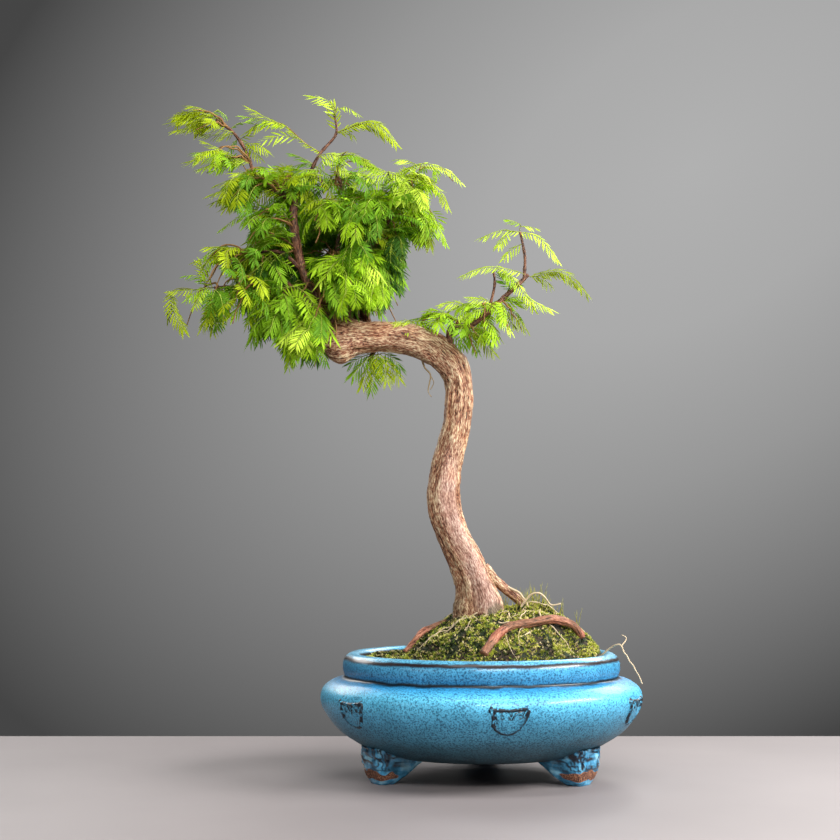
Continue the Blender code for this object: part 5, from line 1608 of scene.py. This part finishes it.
class BONSAI_OT_foliage(bpy.types.Operator):
    """Twigs and sprays of needles grown from the limbs by a seeded rule"""
    bl_idname = "bonsai.foliage"
    bl_label = "Foliage"

    def execute(self, context):
        look = context.scene.bonsai_needles
        sizes = Sizes(look.width / MM, look.stalk / MM)
        rng = np.random.default_rng(look.seed)
        courses = limb_courses()
        twigs = []
        for thick, near, far, *places in MEASURED_TWIGS:
            line = measured_course(near, far, places)
            twigs.append(np.column_stack([line, np.linspace(thick, thick * 0.6, len(line))]))
        sprays = measured_sprays(rng)
        wood = np.concatenate([course[:, :3] for name, course in courses.items() if name != "trunk"]
                              + [courses["trunk"][-60:, :3]] + [twig[:, :3] for twig in twigs])
        shoots = joining_twigs(rng, sprays, wood, 0.42)
        for mass in MASSES:
            for line, depth in mass_twigs(rng, mass, courses):
                grown = twig_sprays(rng, mass, line, depth)
                if grown:
                    twigs.append(np.column_stack([line, np.linspace(1.0, 0.45, len(line))]))
                    sprays += grown
        points, faces = gather([tube_batch(twigs, 5)])
        young = plain_material("young_twig", linear("#86602F"), 0.7, 0.003)
        hand_over(mesh_piece("twigs", points, faces, [young]), "twig", *MASS_NODES)
        points, faces = gather([tube_batch(shoots, 5)])
        green = plain_material("green_shoot", linear("#7C7F34"), 0.6, 0.003)
        hand_over(mesh_piece("shoots", points, faces, [green]), "twig", *MASS_NODES)
        self.needles(sprays, sizes, look, rng)
        return {"FINISHED"}

    def needles(self, sprays, sizes, look, rng):
        """One piece of needles for each tint, and one of all the green stalks."""
        by_tint = defaultdict(list)
        for spray in sprays:
            by_tint[spray.tint].append(spray)
        stalks = []
        for tint, group in by_tint.items():
            by_pairs = defaultdict(list)
            for spray in group:
                by_pairs[max(6, round(lengths_along(spray.course)[-1] / spray.gap))].append(spray)
            needles = []
            for pairs, alike in by_pairs.items():
                points, faces, stalk_points, stalk_faces = spray_shape(alike, pairs, sizes, rng)
                needles.append((points, faces))
                stalks.append((stalk_points, [stalk_faces]))
            points, faces = gather(needles)
            material = leaf_material(tint + "_needles", linear(TINTS[tint]), 0.012, look.glow)
            piece = mesh_piece("needles_" + tint, points, faces, [material], smooth=False)
            hand_over(piece, "needles", *MASS_NODES)
        points, faces = gather(stalks)
        material = leaf_material("green_stalk", linear("#8FA03A"), 0.010, 0.0)
        hand_over(mesh_piece("stalks", points, faces, [material]), "needles")


class BONSAI_OT_stage(bpy.types.Operator):
    """Floor, grey backdrop, soft studio light and the camera"""
    bl_idname = "bonsai.stage"
    bl_label = "Stage"

    def execute(self, context):
        look = context.scene.bonsai_stage
        scene = context.scene
        corners = np.array([(-FLOOR_HALF_WIDTH, FLOOR_FRONT, 0), (FLOOR_HALF_WIDTH, FLOOR_FRONT, 0),
                            (FLOOR_HALF_WIDTH, FLOOR_BACK, 0), (-FLOOR_HALF_WIDTH, FLOOR_BACK, 0)], float)
        material = plain_material("matt_table_top", tuple(look.floor), 0.55, 0.25)
        mesh_piece("floor", corners, [np.array([[0, 1, 2, 3]])], [material], smooth=False)
        world = bpy.data.worlds.new("studio")
        world.use_nodes = True
        tree = world.node_tree
        tree.nodes.clear()
        direction = node(tree, "ShaderNodeTexCoord").outputs["Generated"]
        spot = node(tree, "ShaderNodeMapping", {"vector_type": "TEXTURE"}, {
            "Location": WASH_CENTRE, "Rotation": WASH_TURN, "Scale": WASH_SIZE},
            {"Vector": direction}).outputs["Vector"]
        round_spot = node(tree, "ShaderNodeTexGradient", {"gradient_type": "SPHERICAL"},
                          links={"Vector": spot}).outputs["Fac"]
        wash = ramp(tree, round_spot, *((place, grey(tone)) for place, tone in WASH_TONES))
        shade = node(tree, "ShaderNodeBackground", links={"Color": wash})
        node(tree, "ShaderNodeOutputWorld", links={"Surface": shade.outputs[0]})
        scene.world = world
        for name, place, wide, high, power in LIGHTS:
            lamp = bpy.data.lights.new(name, "AREA")
            lamp.shape = "RECTANGLE"
            lamp.size = wide * MM
            lamp.size_y = high * MM
            lamp.energy = power * look.key
            lamp.color = LIGHT_COLOUR
            self.aim(name, lamp, place, LIGHTS_AIM)
        camera = bpy.data.cameras.new("camera")
        camera.lens = CAMERA_LENS
        camera.sensor_width = CAMERA_SENSOR
        camera.clip_start = 0.05
        scene.camera = self.aim("camera", camera, CAMERA_PLACE, CAMERA_AIM)
        scene.view_settings.view_transform = "Standard"
        scene.view_settings.look = "None"
        return {"FINISHED"}

    def aim(self, name, data, place, target):
        """Object at a place in millimetres from the axis of the pot that looks at a target."""
        thing = bpy.data.objects.new(name, data)
        thing.location = Vector(place) * MM + Vector((AXIS_X, 0, 0))
        look = (Vector(target) * MM + Vector((AXIS_X, 0, 0))) - thing.location
        thing.rotation_euler = look.to_track_quat("-Z", "Y").to_euler()
        bpy.context.scene.collection.objects.link(thing)
        return thing


class BONSAI_PT_panel(bpy.types.Panel):
    """Lists the pieces of the bonsai"""
    bl_idname = "BONSAI_PT_panel"
    bl_label = "Dawn Redwood Bonsai"
    bl_space_type = "VIEW_3D"
    bl_region_type = "UI"
    bl_category = "Bonsai"

    def draw(self, context):
        for label, group, operators in SECTIONS:
            box = self.layout.box()
            box.label(text=label)
            settings = getattr(context.scene, group)
            for name in settings.__annotations__:
                box.prop(settings, name)
            for operator in operators:
                box.operator(operator)


SECTIONS = (
    ("Pot", "bonsai_pot", ("bonsai.pot", "bonsai.feet")),
    ("Moss", "bonsai_moss", ("bonsai.moss",)),
    ("Bark", "bonsai_bark", ("bonsai.wood",)),
    ("Needles", "bonsai_needles", ("bonsai.foliage",)),
    ("Stage", "bonsai_stage", ("bonsai.stage",)),
)
GROUPS = {
    "bonsai_pot": BonsaiPotLook, "bonsai_moss": BonsaiMossLook, "bonsai_bark": BonsaiBarkLook,
    "bonsai_needles": BonsaiNeedleLook, "bonsai_stage": BonsaiStageLook,
}
CLASSES = (
    *GROUPS.values(), BONSAI_OT_pot, BONSAI_OT_feet, BONSAI_OT_moss, BONSAI_OT_wood, BONSAI_OT_foliage,
    BONSAI_OT_stage, BONSAI_PT_panel,
)


def register():
    for made in CLASSES:
        bpy.utils.register_class(made)
    for name, group in GROUPS.items():
        setattr(bpy.types.Scene, name, PointerProperty(type=group))


def unregister():
    for name in GROUPS:
        delattr(bpy.types.Scene, name)
    for made in reversed(CLASSES):
        bpy.utils.unregister_class(made)


def main():
    register()
    bpy.ops.bonsai.pot()
    bpy.ops.bonsai.feet()
    bpy.ops.bonsai.moss()
    bpy.ops.bonsai.wood()
    bpy.ops.bonsai.foliage()
    bpy.ops.bonsai.stage()


if __name__ == "__main__":
    main()
